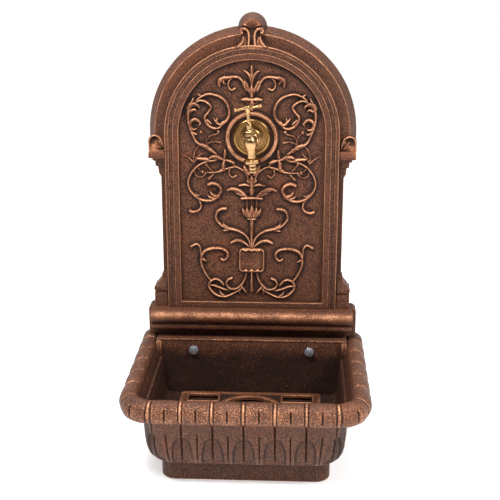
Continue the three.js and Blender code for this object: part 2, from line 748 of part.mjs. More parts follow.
function basin() {
  const body = loft([...body_levels, body_top].map((z) => basin_outline(plan(z), 0, z)), ['x', 'y']);
  const foot_plan = (inset) => ({
    half_width: foot_half_width - inset, front: foot_front - inset,
    corner: foot_corner_radius - inset * 0.6,
  });
  const foot = loft([
    basin_outline(foot_plan(foot_step), 0, 0), basin_outline(foot_plan(0), 0, foot_step * 1.5),
    basin_outline(foot_plan(0), 0, foot_height + 1),
  ], ['x', 'y']);
  const mouth = {
    half_width: inner_half_width, front: rim_front - rim_width + 1, corner: rim_corner_radius - rim_width,
  };
  const inner_back = basin_back_wall + basin_wall;
  const floor_round = basin_floor_round;
  const cavity = loft([
    basin_outline(plan(basin_floor_top, basin_wall + floor_round), inner_back + floor_round, basin_floor_top),
    basin_outline(plan(basin_floor_top + floor_round, basin_wall), inner_back, basin_floor_top + floor_round),
    basin_outline(plan(body_full, basin_wall), inner_back, body_full),
    basin_outline(plan(rim_low, basin_wall), inner_back, rim_low),
    basin_outline(mouth, inner_back, basin_rim_top - 8), basin_outline(mouth, inner_back, basin_rim_top + 1),
  ], ['x', 'y']);
  const ledge_half_width = inner_half_width + ledge_overlap;
  const ledge = slab([
    [-ledge_half_width, rim_low], [ledge_half_width, rim_low],
    [ledge_half_width, basin_rim_top], [-ledge_half_width, basin_rim_top],
  ], 0, inner_back);
  const behind = loft([
    [-1, foot_half_width], [foot_height, foot_half_width], [body_levels[3], plan(body_levels[3]).half_width],
    [rim_low, plan(rim_low).half_width], [basin_rim_top - basin_wall, plan(rim_low).half_width],
  ].map(([z, outside]) => {
    const half = outside - basin_wall;
    return [
      vector(half, 1, z), vector(half, -basin_back_wall, z), vector(-half, -basin_back_wall, z),
      vector(-half, 1, z),
    ];
  }), ['x', 'y']);
  const below = loft([
    basin_outline(foot_plan(basin_wall + 2), basin_back_wall - 8, -1),
    basin_outline(foot_plan(basin_wall), basin_back_wall - 8, basin_floor_top - basin_wall),
  ], ['x', 'y']);
  const holes = [-1, 1].map((side) => moved(
    rod(screw_shank_radius + screw_hole_clearance, 0, inner_back + screw_washer_radius, 10, 'y'), side * screw_half_spacing, 0, screw_height,
  ));
  let whole = join([body, foot, rim(), ledge]).subtract(cavity).subtract(behind).subtract(below);
  for (const cut of [...waterleaf_cuts(), ...holes]) {
    whole = whole.subtract(cut);
  }
  return whole;
}

// The grate: a plate with slots, a round opening with a raised ring, on four pads

function grate() {
  const middle = (grate_back + grate_front) / 2;
  const rectangle = (x0, x1, y0, y1) => [[x0, y0], [x1, y0], [x1, y1], [x0, y1]];
  const flat = (outline, low, high) => loft(
    [low, high].map((z) => outline.map(([x, y]) => vector(x, -y, z))), ['x', 'y'],
  );
  const low = grate_top - grate_thickness;
  const chamfered = [
    [-grate_half_width, grate_back + grate_corner], [grate_corner - grate_half_width, grate_back],
    [grate_half_width - grate_corner, grate_back], [grate_half_width, grate_back + grate_corner],
    [grate_half_width, grate_front - grate_corner], [grate_half_width - grate_corner, grate_front],
    [grate_corner - grate_half_width, grate_front], [-grate_half_width, grate_front - grate_corner],
  ];
  const plate = flat(chamfered, low, grate_top);
  const rows_depth = grate_front - grate_back - 2 * grate_border - grate_slot_depth;
  const row_pitch = rows_depth / (grate_slot_rows - 1);
  const slots = [];
  const edges = [];
  for (let row = 0; row < grate_slot_rows; row += 1) {
    const y = grate_back + grate_border + row * row_pitch;
    const far = y + grate_slot_depth;
    const clear = row === 1 ? grate_slot_clear : 0;
    for (const side of [-1, 1]) {
      const ends = [side * (grate_slot_inner + clear), side * grate_slot_outer].sort((a, b) => a - b);
      slots.push(flat(rectangle(...ends, y, far), low - 1, grate_top + 2 * grate_edge_rise));
      edges.push(flat(rectangle(
        ends[0] - grate_edge_width, ends[1] + grate_edge_width, y - grate_edge_width, far + grate_edge_width,
      ), low, grate_top + grate_edge_rise));
    }
  }
  const ring_half = grate_ring_width / 2;
  const ring = moved(
    rod(grate_ring_radius + ring_half, low, grate_top + grate_ring_rise, 20, 'z'), 0, -middle, 0,
  );
  const opening = moved(
    rod(grate_ring_radius - ring_half, low - 1, grate_top + 2 * grate_ring_rise, 20, 'z'), 0, -middle, 0,
  );
  const pad_half_spacing = grate_half_width - grate_pad_side_inset;
  const pad_rows = [grate_back + grate_pad_inset, grate_front - grate_pad_inset];
  const pads = [-1, 1].flatMap((side) => pad_rows.map((y) => moved(
    rod(grate_pad_radius, basin_floor_top + grate_gap, low + 1, 6, 'z'), side * pad_half_spacing, -y, 0,
  )));
  let whole = join([plate, ...edges, ring, ...pads]).subtract(opening);
  for (const slot of slots) {
    whole = whole.subtract(slot);
  }
  return whole;
}

// The screws: a hexagon head on a washer, and a shank back to the wall

function screw() {
  const face = basin_back_wall + basin_wall + grate_gap;
  const head_back = face + screw_washer_thickness;
  const corner_radius = screw_head_flat_to_flat / Math.sqrt(3);
  const head = turned([
    [0, head_back - 0.2], [corner_radius, head_back - 0.2],
    [corner_radius, head_back + screw_head_height - 1], [corner_radius - 1.4, head_back + screw_head_height],
    [0, head_back + screw_head_height],
  ], 6, 'y');
  const washer = rod(screw_washer_radius, face, head_back, 12, 'y');
  const shank = rod(screw_shank_radius, screw_wall_gap, face + 1, 8, 'y');
  return join([head, washer, shank]);
}

// The tap, in a frame of its own: its inlet runs along y through the boss, and its stem up z

const rosette_back = panel_front + rosette_seat;

function rosette() {
  const radius = rosette_radius;
  const crown = rosette_thickness;
  const hole = shank_radius + shank_clearance;
  return turned([
    [hole, rosette_back], [radius, rosette_back], [radius, rosette_back + crown * 0.36],
    [radius * 0.85, rosette_back + crown * 0.66], [radius * 0.8, rosette_back + crown * 0.48],
    [radius * 0.67, rosette_back + crown * 0.54], [radius * 0.52, rosette_back + crown],
    [hole, rosette_back + crown], [hole, rosette_back],
  ], 18, 'y');
}

const bonnet_low = 11;
const bonnet_high = 24;
const gland_high = 35;
const union_top = -28;

function tap_body() {
  const collar_back = rosette_back + rosette_thickness + brass_gap;
  const inlet = turned([
    [0, shank_back_gap], [shank_radius * 0.76, shank_back_gap], [shank_radius, shank_back_gap * 1.6],
    [shank_radius, collar_back], [collar_radius, collar_back], [collar_radius, collar_back + collar_width],
    [neck_radius * 1.15, collar_back + collar_width * 1.2], [neck_radius, collar_back + collar_width * 2],
    [neck_radius, tap_reach - belly_radius], [0, tap_reach - neck_radius / 2],
  ], 12, 'y');
  const stem = moved(turned([
    [0, union_top + brass_gap], [spout_radius, union_top + brass_gap], [spout_radius, union_top * 0.72],
    [spout_radius * 1.1, union_top * 0.5], [belly_radius * 0.95, union_top * 0.2], [belly_radius, 0],
    [belly_radius * 0.88, bonnet_low * 0.64], [neck_radius, bonnet_low - brass_gap],
    [0, bonnet_low - brass_gap],
  ], 12, 'z'), 0, -tap_reach, 0);
  const outlet = moved(rod(nozzle_bore, union_top - 1, -belly_radius, 8, 'z'), 0, -tap_reach, 0);
  const inlet_bore = rod(shank_radius * 0.6, shank_back_gap - 1, tap_reach - 2 * belly_radius, 8, 'y');
  return inlet.add(stem).subtract(outlet).subtract(inlet_bore);
}

function tap_bonnet() {
  const hex = bonnet_flat_to_flat / Math.sqrt(3);
  const nut = turned([
    [0, bonnet_low], [hex - 1, bonnet_low], [hex, bonnet_low + 1], [hex, bonnet_high - 5],
    [hex - 1.2, bonnet_high - 4], [0, bonnet_high - 4],
  ], 6, 'z');
  const gland = turned([
    [0, bonnet_low + 2], [6, bonnet_low + 2], [6, bonnet_high - 3], [4.9, bonnet_high - 1],
    [4.9, gland_high - 2], [4.2, gland_high], [0, gland_high],
  ], 10, 'z');
  const well = rod(spindle_radius + spindle_clearance, bonnet_low + 4, gland_high + 1, 10, 'z');
  return moved(nut.add(gland).subtract(well), 0, -tap_reach, 0);
}

function tap_handle() {
  const spindle = rod(spindle_radius, bonnet_low + 5, handle_height, 10, 'z');
  const half = handle_length / 2;
  const bar = turned([
    [0, -half], [3.2, -half], [3.6, -half + 1.5], [2.7, -half + 7], [2.5, -8], [3.6, -4], [3.6, 4],
    [2.5, 8], [2.7, half - 7], [3.6, half - 1.5], [3.2, half], [0, half],
  ], 8, 'y');
  const hub = turned([
    [0, handle_height - 6], [4.2, handle_height - 6], [4.8, handle_height - 2],
    [4.6, handle_height + 3], [3, handle_height + 4.6], [0, handle_height + 5],
  ], 10, 'z');
  return join([spindle, moved(bar.rotate([0, 0, 90]), 0, 0, handle_height), hub]);
}

function tap_union() {
  const low = union_top - union_height;
  const nut = turned([
    [0, low], [union_radius - 2, low], [union_radius, low + 1.6], [union_radius, union_top - 3.5],
    [union_radius - 3.5, union_top - 1.5], [10, union_top - brass_gap * 0.5], [0, union_top - brass_gap * 0.5],
  ], 12, 'z');
  const bore = rod(nozzle_bore, low - 1, union_top + 1, 8, 'z');
  return moved(nut.subtract(bore), 0, -tap_reach, 0);
}

function tap_nozzle() {
  const top = union_top - union_height - brass_gap;
  const low = top - nozzle_length;
  const outer = turned([
    [0, low], [nozzle_radius - 1, low], [nozzle_radius, low + 1.5], [nozzle_radius - 0.6, low + 6],
    [nozzle_radius, low + 7], [nozzle_radius, top], [0, top],
  ], 12, 'z');
  return moved(outer.subtract(rod(nozzle_bore, low - 1, top + 1, 8, 'z')), 0, -tap_reach, 0);
}

// The fountain

const fountain = new THREE.Group();
fountain.position.y = rim_front / 2;

function place(name, solid, material, parent = fountain) {
  const mesh = new THREE.Mesh(geometry_of(solid), material);
  mesh.name = name;
  parent.add(mesh);
  return mesh;
}

place('back_plate', back_plate(), casting_paint());
place('basin', basin(), casting_paint());
place('basin_grate', grate(), grate_paint());
for (const [side, name] of [[-1, 'basin_screw_left'], [1, 'basin_screw_right']]) {
  const one = place(name, screw(), zinc_steel());
  one.position.set(side * screw_half_spacing, 0, screw_height);
}

const boss_frame = new THREE.Group();
boss_frame.position.z = boss_height;
fountain.add(boss_frame);
place('tap_rosette', rosette(), polished_brass(), boss_frame);

const tap = new THREE.Group();
tap.rotation.y = radians(-tap_lean_deg);
boss_frame.add(tap);
place('tap_body', tap_body(), polished_brass(), tap);
place('tap_bonnet', tap_bonnet(), polished_brass(), tap);
place('tap_union_nut', tap_union(), polished_brass(), tap);
place('tap_nozzle', tap_nozzle(), polished_brass(), tap);

const handle_frame = new THREE.Group();
handle_frame.position.y = -tap_reach;
handle_frame.rotation.z = radians(handle_turn_deg);
tap.add(handle_frame);
place('tap_handle', tap_handle(), polished_brass(), handle_frame);

export default fountain;
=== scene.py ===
# %% [markdown]
# # A cast wall fountain
# This lesson dresses a wall fountain: an arched back plate with scroll relief, a basin with a
# gadrooned rim, a loose grate and a brass tap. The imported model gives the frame, that is, where
# every piece stands and how large it is. Blender adds the surfaces. First the frame is loaded,
# and its box is kept, because the finished looks have to stay inside it.

# %% The frame
import json
import math

import bmesh
import bpy
import numpy as np
from mathutils import Matrix, Vector
from mathutils.bvhtree import BVHTree

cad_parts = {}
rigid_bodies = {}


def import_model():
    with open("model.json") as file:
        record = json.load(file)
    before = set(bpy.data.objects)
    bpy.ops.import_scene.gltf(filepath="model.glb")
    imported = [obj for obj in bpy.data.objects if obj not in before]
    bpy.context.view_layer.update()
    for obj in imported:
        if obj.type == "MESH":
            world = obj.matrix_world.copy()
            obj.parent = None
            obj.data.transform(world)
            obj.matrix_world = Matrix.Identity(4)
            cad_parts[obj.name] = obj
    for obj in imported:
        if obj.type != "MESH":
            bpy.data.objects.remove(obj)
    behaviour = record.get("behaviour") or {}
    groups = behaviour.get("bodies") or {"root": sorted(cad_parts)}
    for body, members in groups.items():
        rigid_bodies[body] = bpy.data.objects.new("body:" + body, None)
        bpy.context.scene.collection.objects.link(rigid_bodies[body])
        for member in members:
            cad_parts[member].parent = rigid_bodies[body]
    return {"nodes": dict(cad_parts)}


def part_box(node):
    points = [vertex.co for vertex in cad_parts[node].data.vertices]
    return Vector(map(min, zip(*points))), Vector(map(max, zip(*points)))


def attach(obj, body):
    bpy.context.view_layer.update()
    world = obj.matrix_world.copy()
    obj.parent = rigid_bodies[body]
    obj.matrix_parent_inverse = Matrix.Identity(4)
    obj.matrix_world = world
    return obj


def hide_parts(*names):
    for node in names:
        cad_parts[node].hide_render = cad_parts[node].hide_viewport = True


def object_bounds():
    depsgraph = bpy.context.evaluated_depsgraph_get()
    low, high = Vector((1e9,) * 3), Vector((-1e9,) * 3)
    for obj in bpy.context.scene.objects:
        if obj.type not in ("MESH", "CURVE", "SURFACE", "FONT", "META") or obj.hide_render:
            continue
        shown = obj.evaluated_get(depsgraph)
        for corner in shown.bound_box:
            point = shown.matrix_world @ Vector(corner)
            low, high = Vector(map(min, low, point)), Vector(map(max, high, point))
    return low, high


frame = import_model()
cad_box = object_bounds()
MM = 0.001
WALL = cad_box[1].y / MM
print("frame:", len(frame["nodes"]), "nodes, wall plane at", round(WALL, 1), "mm")

# %% [markdown]
# ## From millimetres to a mesh
# A caster's drawing gives sizes across, forward from the wall and up, in millimetres. All points
# here are kept that way and turned into metres in one place. A piece is made of parts, and each
# part is a list of points and a list of faces.

# %% Making a piece
def to_frame(points):
    """Points as (across, forward of the wall, up) in mm, as metres in the frame."""
    points = np.asarray(points, float).reshape(-1, 3)
    return np.column_stack([points[:, 0], WALL - points[:, 1], points[:, 2]]) * MM


def placed(name, data):
    """An object that holds this data, in the scene."""
    made = bpy.data.objects.new(name, data)
    bpy.context.scene.collection.objects.link(made)
    return made


def new_piece(name, parts, sharp_deg=40):
    """One mesh object from parts, linked to the scene."""
    points, faces, base = [], [], 0
    for part_points, part_faces in parts:
        part_points = np.asarray(part_points, float).reshape(-1, 3)
        points.append(part_points)
        faces.extend([[base + i for i in face] for face in part_faces])
        base += len(part_points)
    mesh = bpy.data.meshes.new(name)
    mesh.from_pydata(to_frame(np.vstack(points)).tolist(), [], faces)
    piece = placed(name, mesh)
    tidy_faces(piece, sharp_deg)
    return piece


def tidy_faces(piece, sharp_deg):
    """Turns every closed part's faces outward, and rounds the shading below the sharp angle."""
    work = bmesh.new()
    work.from_mesh(piece.data)
    bmesh.ops.remove_doubles(work, verts=work.verts, dist=1e-6)
    bmesh.ops.recalc_face_normals(work, faces=work.faces)
    for edge in work.edges:
        turn = edge.calc_face_angle(0) if len(edge.link_faces) == 2 else 0
        edge.smooth = turn < math.radians(sharp_deg)
    for face in work.faces:
        face.smooth = True
    work.to_mesh(piece.data)
    work.free()


# %% [markdown]
# ## Skins and sections
# Most of a casting is a section carried along a way: the frame's moulding runs round the arch,
# the basin's wall runs round its plan. `skin` joins a row of rings. `eased` rounds the corners of
# a section, as molten metal does in a mould, and leaves a point beside each corner, so that the
# wear painted on an edge later stays on the edge.

# %% Skins, eased corners and turned parts
def skin(rings, closed=False, caps=True):
    """Joins a row of rings with four-sided faces. Closed, the last ring meets the first."""
    rings = np.asarray(rings, float)
    rows, columns = rings.shape[:2]
    index = np.arange(rows * columns).reshape(rows, columns)
    after = np.roll(index, -1, axis=0) if closed else index[1:]
    here = index if closed else index[:-1]
    quads = np.stack([here, np.roll(here, -1, axis=1), np.roll(after, -1, axis=1), after], axis=-1)
    faces = quads.reshape(-1, 4).tolist()
    if caps and not closed:
        faces += [index[0][::-1].tolist(), index[-1].tolist()]
    return rings.reshape(-1, 3), faces


def eased(outline, radius=1.2, beside=1.0, steps=3):
    """An outline with rounded corners, and a point beside each of them."""
    outline = np.asarray(outline, float)
    out = []
    for here, before, after in zip(outline, np.roll(outline, 1, axis=0), np.roll(outline, -1, axis=0)):
        back, ahead = before - here, after - here
        back_length, ahead_length = np.linalg.norm(back), np.linalg.norm(ahead)
        back, ahead = back / back_length, ahead / ahead_length
        angle = math.acos(np.clip(back @ ahead, -1, 1))
        if angle > math.radians(170):
            out.append(here)
            continue
        reach = min(radius / math.tan(angle / 2), back_length * 0.35, ahead_length * 0.35)
        if back_length > 2.5 * (reach + beside):
            out.append(here + back * (reach + beside))
        for share in np.linspace(0, 1, steps + 1):
            out.append(here + back * reach * (1 - share) ** 2 + ahead * reach * share ** 2)
        if ahead_length > 2.5 * (reach + beside):
            out.append(here + ahead * (reach + beside))
    return np.array(out)


def turned(profile, sides=48, axis="up"):
    """A turned part about the origin. The profile holds radius and place along the axis."""
    profile = np.asarray(profile, float)
    angles = np.linspace(0, 2 * math.pi, sides, endpoint=False)
    radius, along = profile[:, 0][:, None], profile[:, 1][:, None]
    across, other = radius * np.cos(angles), radius * np.sin(angles)
    along = np.broadcast_to(along, across.shape)
    order = (across, other, along) if axis == "up" else (across, along, other)
    points, faces = skin(np.stack(order, axis=-1))
    return points, faces


def turned_ring(profile, sides=48, axis="up"):
    """A turned part with a hole down its axis, from a section that closes on itself."""
    points, _ = turned(profile, sides, axis)
    return skin(points.reshape(len(profile), -1, 3).transpose(1, 0, 2), closed=True)


def moved(part, across=0, forward=0, up=0):
    """A part shifted by these distances."""
    return np.asarray(part[0]) + [across, forward, up], part[1]


def mirrored(part):
    """The same part on the other side of the middle."""
    return np.asarray(part[0]) * [-1, 1, 1], [face[::-1] for face in part[1]]


def both(part):
    """A part and its mirror image."""
    return [part, mirrored(part)]


def curve_through(points, spacing=0.8):
    """A smooth line through points, in even steps."""
    points = np.asarray(points, float)
    ends = [2 * points[0] - points[1], *points, 2 * points[-1] - points[-2]]
    line = []
    for a, b, c, d in zip(ends, ends[1:], ends[2:], ends[3:]):
        t = np.linspace(0, 1, 24, endpoint=False)[:, None]
        line.append(0.5 * (2 * b + (c - a) * t + (2 * a - 5 * b + 4 * c - d) * t ** 2
                           + (3 * b - a - 3 * c + d) * t ** 3))
    line = np.vstack([*line, points[-1:]])
    length = np.concatenate([[0], np.cumsum(np.linalg.norm(np.diff(line, axis=0), axis=1))])
    even = np.linspace(0, length[-1], max(3, round(length[-1] / spacing)))
    return np.column_stack([np.interp(even, length, line[:, k]) for k in range(line.shape[1])])


def arc(x, z, start_radius, end_radius, start_deg, end_deg, steps=8):
    """Points on an arc, or on a spiral where the two radii differ."""
    share = np.linspace(0, 1, steps + 1)
    radius = start_radius + (end_radius - start_radius) * share
    angle = np.radians(start_deg + (end_deg - start_deg) * share)
    return [[x + r * math.cos(a), z + r * math.sin(a)] for r, a in zip(radius, angle)]


# %% [markdown]
# ## The plate's sizes
# The sizes below are the casting's own, in millimetres. Heights run from the ground, and depths
# forward from the wall. They say again what the frame's solids already have, so that the fine
# surface lies on them.

# %% Sizes of the back plate
springing = 550
capital_top = 519
frame_sizes = {"outer": 155, "groove_outer": 148.5, "groove_inner": 141, "panel": 130.5}
panel_bottom = 235
frame_front = 42
panel_front = 34
pocket_depth, pocket_radius, pocket_half, pocket_foot = 20, 168, 156, 198
plate_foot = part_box("back_plate")[0].z / MM
boss_height = 543.5


def arched_ring(section, foot, mitred=False, steps=60):
    """Carries a section of (radius, depth) over the arch and down both jambs."""
    rings = []
    section = np.asarray(section, float)

    def ring(across, up):
        rings.append(np.column_stack([across, section[:, 1], up]))

    radius = section[:, 0]
    drop = radius - frame_sizes["panel"] if mitred else 0 * radius
    ring(radius, foot - drop)
    ring(radius, foot - drop + 6)
    for angle in np.linspace(0, math.pi, steps + 1):
        ring(radius * math.cos(angle), springing + radius * math.sin(angle))
    ring(-radius, foot - drop + 6)
    ring(-radius, foot - drop)
    return skin(rings, closed=mitred)


# %% [markdown]
# ## Arch, frame and panel ground
# On the real plate the arch, the frame and the sunk panel are one casting. Here the arch is a
# section carried over the head, and the frame is a closed ring that is mitred at its lower
# corners, so that its groove runs round all four sides as it does on the casting.

# %% Arch and frame
def arch_part():
    """The arch over the head: a sloping outer face and a flat one beside the frame."""
    section = eased([[pocket_radius + 2, 0.2], [186.4, 0.2], [186, 3], [173.6, 27.9], [149, 28],
                     [149, pocket_depth], [pocket_radius, pocket_depth]], 1.2)
    return arched_ring(section, capital_top - 10)


def frame_part():
    """The flat moulding with its groove, mitred at the panel's lower corners."""
    g = frame_sizes
    section = eased([
        [g["outer"], pocket_depth + 2], [g["outer"], frame_front], [g["groove_outer"], frame_front],
        [g["groove_outer"] - 0.6, frame_front - 1.3], [g["groove_inner"] + 0.6, frame_front - 1.3],
        [g["groove_inner"], frame_front], [g["panel"], frame_front],
        [g["panel"] - 1.5, panel_front - 1], [g["panel"] - 1.5, pocket_depth + 2],
    ], 0.8, 0.9)
    return arched_ring(section, panel_bottom, mitred=True)


def ground_part(step=2.0):
    """The panel's ground as a fine sheet, so that it can carry the shadow of the relief."""
    reach = frame_sizes["panel"] + 3
    x = np.arange(-reach, reach + step, step)
    z = np.arange(panel_bottom - 4, springing + reach + step, step)
    grid_x, grid_z = np.meshgrid(x, z)
    inside = np.hypot(grid_x, np.maximum(grid_z - springing, 0)) <= reach + 0.1
    return sheet(x, z, np.zeros_like(grid_x), inside, pocket_depth + 1 - panel_front)


def sheet(x, z, heights, keep, back):
    """A sheet over the panel with these heights where keep is set, flat behind and closed all round."""
    cell = keep[:-1, :-1] & keep[1:, :-1] & keep[:-1, 1:] & keep[1:, 1:]
    index = np.arange(keep.size).reshape(keep.shape)
    corners = [index[:-1, :-1], index[:-1, 1:], index[1:, 1:], index[1:, :-1]]
    quads = np.stack([corner[cell] for corner in corners], axis=-1)
    used, quads = np.unique(quads, return_inverse=True)
    quads = quads.reshape(-1, 4)
    across, up = x[used % keep.shape[1]], z[used // keep.shape[1]]
    front = np.column_stack([across, panel_front + heights.ravel()[used], up])
    behind = np.column_stack([across, np.full(len(across), panel_front + back), up])
    edges = np.concatenate([quads[:, [k, (k + 1) % 4]] for k in range(4)])
    key = edges.min(axis=1) * len(used) + edges.max(axis=1)
    _, first, counts = np.unique(key, return_index=True, return_counts=True)
    border = edges[first[counts == 1]]
    shift = len(used)
    sides = np.column_stack([border[:, 1], border[:, 0], border[:, 0] + shift, border[:, 1] + shift])
    return np.vstack([front, behind]), [*quads.tolist(), *(quads[:, ::-1] + shift).tolist(), *sides.tolist()]


def shaft_part():
    """Both shafts and the wall between them, open at the back."""
    half = 165
    web = pocket_depth + 0.4
    outline = eased([[-half, 0.2], [-pocket_half, 0.2], [-pocket_half, web], [pocket_half, web],
                     [pocket_half, 0.2], [half, 0.2], [half, 25], [-half, 25]], 1.5)
    return skin([[[x, depth, z] for x, depth in outline]
                 for z in (plate_foot, plate_foot + 4, 400, capital_top)])


plate_parts = [arch_part(), frame_part(), ground_part(), shaft_part()]
print("arch, frame, ground and shafts:", sum(len(part[1]) for part in plate_parts), "faces")

# %% [markdown]
# ## Capitals, plinths, band and keystone
# The mouldings step out to the side and to the front at once, so each is a stack of level
# outlines: a list of heights, and how far the moulding stands out at each. The band at the foot
# is one long moulding, square at its ends.

# %% Mouldings
def stack(levels, inner, base_half, base_front, front_share):
    """A side block whose outer side and front step out together: levels of (height, outset)."""
    rings = []
    for height, outset in levels:
        half, front = base_half + outset, base_front + outset * front_share
        rings.append([[x, depth, height] for x, depth in eased(
            [[inner, 0.3], [half, 0.3], [half, front], [inner, front]], 1, 0.8, 2)])
    return skin(rings)


def capital_parts():
    """A capital: its mouldings, and above them a scroll with a bud."""
    levels = [
        [467, -1], [469, 0], [476, 3.6], [486, 4.6], [488, 4.6], [489, 8.6], [497, 9.4], [498.5, 9.4],
        [500, 13.6], [503.5, 14], [505, 20.6], [517, 20.6], [519, 18.5],
    ]
    block = stack(levels, pocket_half + 1, 165, 25, 0.6)
    centre = [172.5, 533]
    scroll_back = skin([[[x, depth, z] for x, z in [
        [157, 516], [186, 516], [186, 538], *arc(*centre, 13, 13, 20, 160, 8), [157, 530]]]
        for depth in (0.5, 27, 28)])
    band = strand_part([[158.6, 524], [160, 533], [165, 541.6], [173, 545.4], [180.6, 542.6], [184, 535],
                        [183.8, 521]], [2.6, 3.2, 3.6, 3.8, 3.8, 3.4, 2.6], 6.4, 28, 0.9)
    bud = strand_part([[172.4, 536], [169.6, 529.6], [163.6, 522.6]], [3, 7, 4.4], 5.4, 28, 0.9)
    return [block, scroll_back, band, bud]


def strand_part(points, widths, rise, ground, spacing=1.2, around=9):
    """A rounded strand along points in x and z, on a ground at a given depth."""
    way = curve_through(points, spacing)
    share = np.linspace(0, 1, len(way))
    half = np.interp(share, np.linspace(0, 1, len(widths)), widths) / 2
    along = np.gradient(way, axis=0)
    along /= np.linalg.norm(along, axis=1)[:, None]
    turn = np.linspace(0, math.pi, around)
    rings = []
    for at in range(len(way)):
        across = half[at] * np.cos(turn)
        lift = rise * np.sin(turn) ** 0.8 * min(1, half[at] / 1.6)
        points_here = way[at] + np.outer(across, [-along[at][1], along[at][0]])
        rings.append(np.column_stack([points_here[:, 0], ground - 1 + lift * (1 + 1 / rise),
                                      points_here[:, 1]]))
    return skin(rings)


def plinth_part():
    """A plinth's mouldings, from the band up to the shaft."""
    levels = [
        [206, 16], [250.5, 16], [251.5, 13], [253, 13.2], [254.5, 16.2], [258, 17], [261.5, 16.2],
        [263, 13.4], [266, 12], [271, 7.6], [275, 4], [278, 3.2], [283, 3.2], [284.5, 0.8], [290, 0],
        [292, -2],
    ]
    return stack(levels, pocket_half + 1, 165, 25, 0.78)


def band_parts():
    """The slab that closes the plate below, with the long rolled moulding on it."""
    corner, slab_half, slab_top = 10, 195, 222.5
    shoulder = arc(slab_half - corner, slab_top - corner, corner, corner, 0, 90, 6)
    top = [*shoulder, [pocket_half, slab_top]]
    notch = [[pocket_half, pocket_foot], [-pocket_half, pocket_foot]]
    left = [[-x, z] for x, z in top[::-1]]
    front_slab = skin([[[x * inset, depth, z] for x, z in [[slab_half, plate_foot], *top, *left,
                                                           [-slab_half, plate_foot]]]
                       for depth, inset in ((pocket_depth + 0.8, 1), (24.5, 1), (27, 0.995), (28, 0.985))])
    back_slab = skin([[[x, depth, z] for x, z in [[slab_half, plate_foot], *top, *notch, *left,
                                                  [-slab_half, plate_foot]]]
                      for depth in (0.6, pocket_depth + 1)])
    roll_forward, roll_height, roll_radius = 47, 209, 13
    profile = [
        [1, plate_foot], [13, plate_foot], [13, 179], [46, 182.5], [50.2, 184.5], [51.4, 187.5],
        [51.4, 190.5], [50, 193], [47.4, 194.4], [47.4, 196],
        *arc(roll_forward, roll_height, roll_radius, roll_radius, -74, 84, 16),
        [44.5, 223.6], [pocket_depth + 1.4, 224], [pocket_depth + 1.4, pocket_foot], [1, pocket_foot],
    ]
    half = 187
    rings = [[[x, 1 + (depth - 1) * inset, z] for depth, z in profile]
             for x, inset in ((-half, 0.985), (-half + 1, 1), (half - 1, 1), (half, 0.985))]
    return [front_slab, back_slab, skin(rings)]


def keystone_parts():
    """The keystone: a round cap over two volutes with leaves between."""
    middle, ground = 733, 37
    barrel_profile = [[0, 0.3], [24.9, 0.3], [25.3, 1.2], [24.9, 4], [18.6, 34], [18.2, 37], [17.4, 39.4],
                      [15.8, 41], [12, 41.8], [0, 42]]
    barrel = moved(turned(barrel_profile, 56, "forward"), 0, 0, middle)
    held_back = np.minimum(barrel[0][:, 1], ground - 2)
    barrel[0][:, 1] = np.where(barrel[0][:, 2] < 737, held_back, barrel[0][:, 1])
    outline = eased([[-24, 700], [24, 700], [15, 712], [12, 722], [18, 731], [-18, 731], [-12, 722],
                     [-15, 712]], 1.5, 1)
    block = skin([[[x, depth, z] for x, z in outline] for depth in (pocket_depth + 1.2, 36, ground)])
    volute = strand_part([[5.8, 704.4], [5.3, 711], [4.8, 719], [6, 726.6], [9.6, 731.4], [14.4, 732.6],
                          [18, 730], [17.6, 726.8], [15.4, 727]],
                         [4.8, 5, 5, 5, 5, 5.4, 7, 8, 7], 6.2, ground, 0.9, 11)
    leaf = strand_part([[14.6, 720], [15, 714], [18, 708], [24.4, 701.6]], [2.6, 5.4, 5.6, 3], 6, ground, 0.9)
    fold = strand_part([[11.8, 718], [11.2, 712], [12, 706], [14, 701]], [3, 8, 10, 11], 4.2, ground, 0.9)
    return [barrel, block, *both(volute), *both(leaf), *both(fold)]


for part in [*capital_parts(), plinth_part()]:
    plate_parts += both(part)
plate_parts += [*band_parts(), *keystone_parts()]
print("plate so far:", sum(len(part[1]) for part in plate_parts), "faces")

# %% [markdown]
# ## The ring boss
# A turned ring stands round the tap. Its inner side drops straight down to the panel, so the
# brass rosette inside it sits in a dark well.

# %% Ring boss
ring_radius, ring_half, ring_rise = 43.6, 3.7, 8
ring_profile = eased([
    [ring_radius - ring_half, -3], [ring_radius - ring_half, ring_rise * 0.75],
    [ring_radius - 1.2, ring_rise], [ring_radius + 1.4, ring_rise - 0.3],
    [ring_radius + ring_half, ring_rise * 0.45], [ring_radius + ring_half + 0.4, -3],
], 1.1, 1)
plate_parts.append(moved(turned_ring(ring_profile, 96, "forward"), 0, panel_front, boss_height))
print("ring boss", round(2 * (ring_radius + ring_half), 1), "mm across")

# %% [markdown]
# ## The scroll relief
# The ornament is low relief: strands, leaves and buds that rise a few millimetres from the
# panel. It could be modelled strand by strand, but they run into one another as modelling clay
# does, so it is made as a field of heights over the panel. Each strand raises the field along
# its way, and where two meet the higher one wins. The field goes on falling below the ground, so
# that the edge where it meets the panel is a smooth line and not a staircase.

# %% A field of heights
FIELD_STEP = 0.85
STRAND_FULLNESS = 1.14
field_x = np.arange(-126, 126 + FIELD_STEP, FIELD_STEP)
field_z = np.arange(237, 678, FIELD_STEP)
field = np.full((len(field_z), len(field_x)), -3.0)


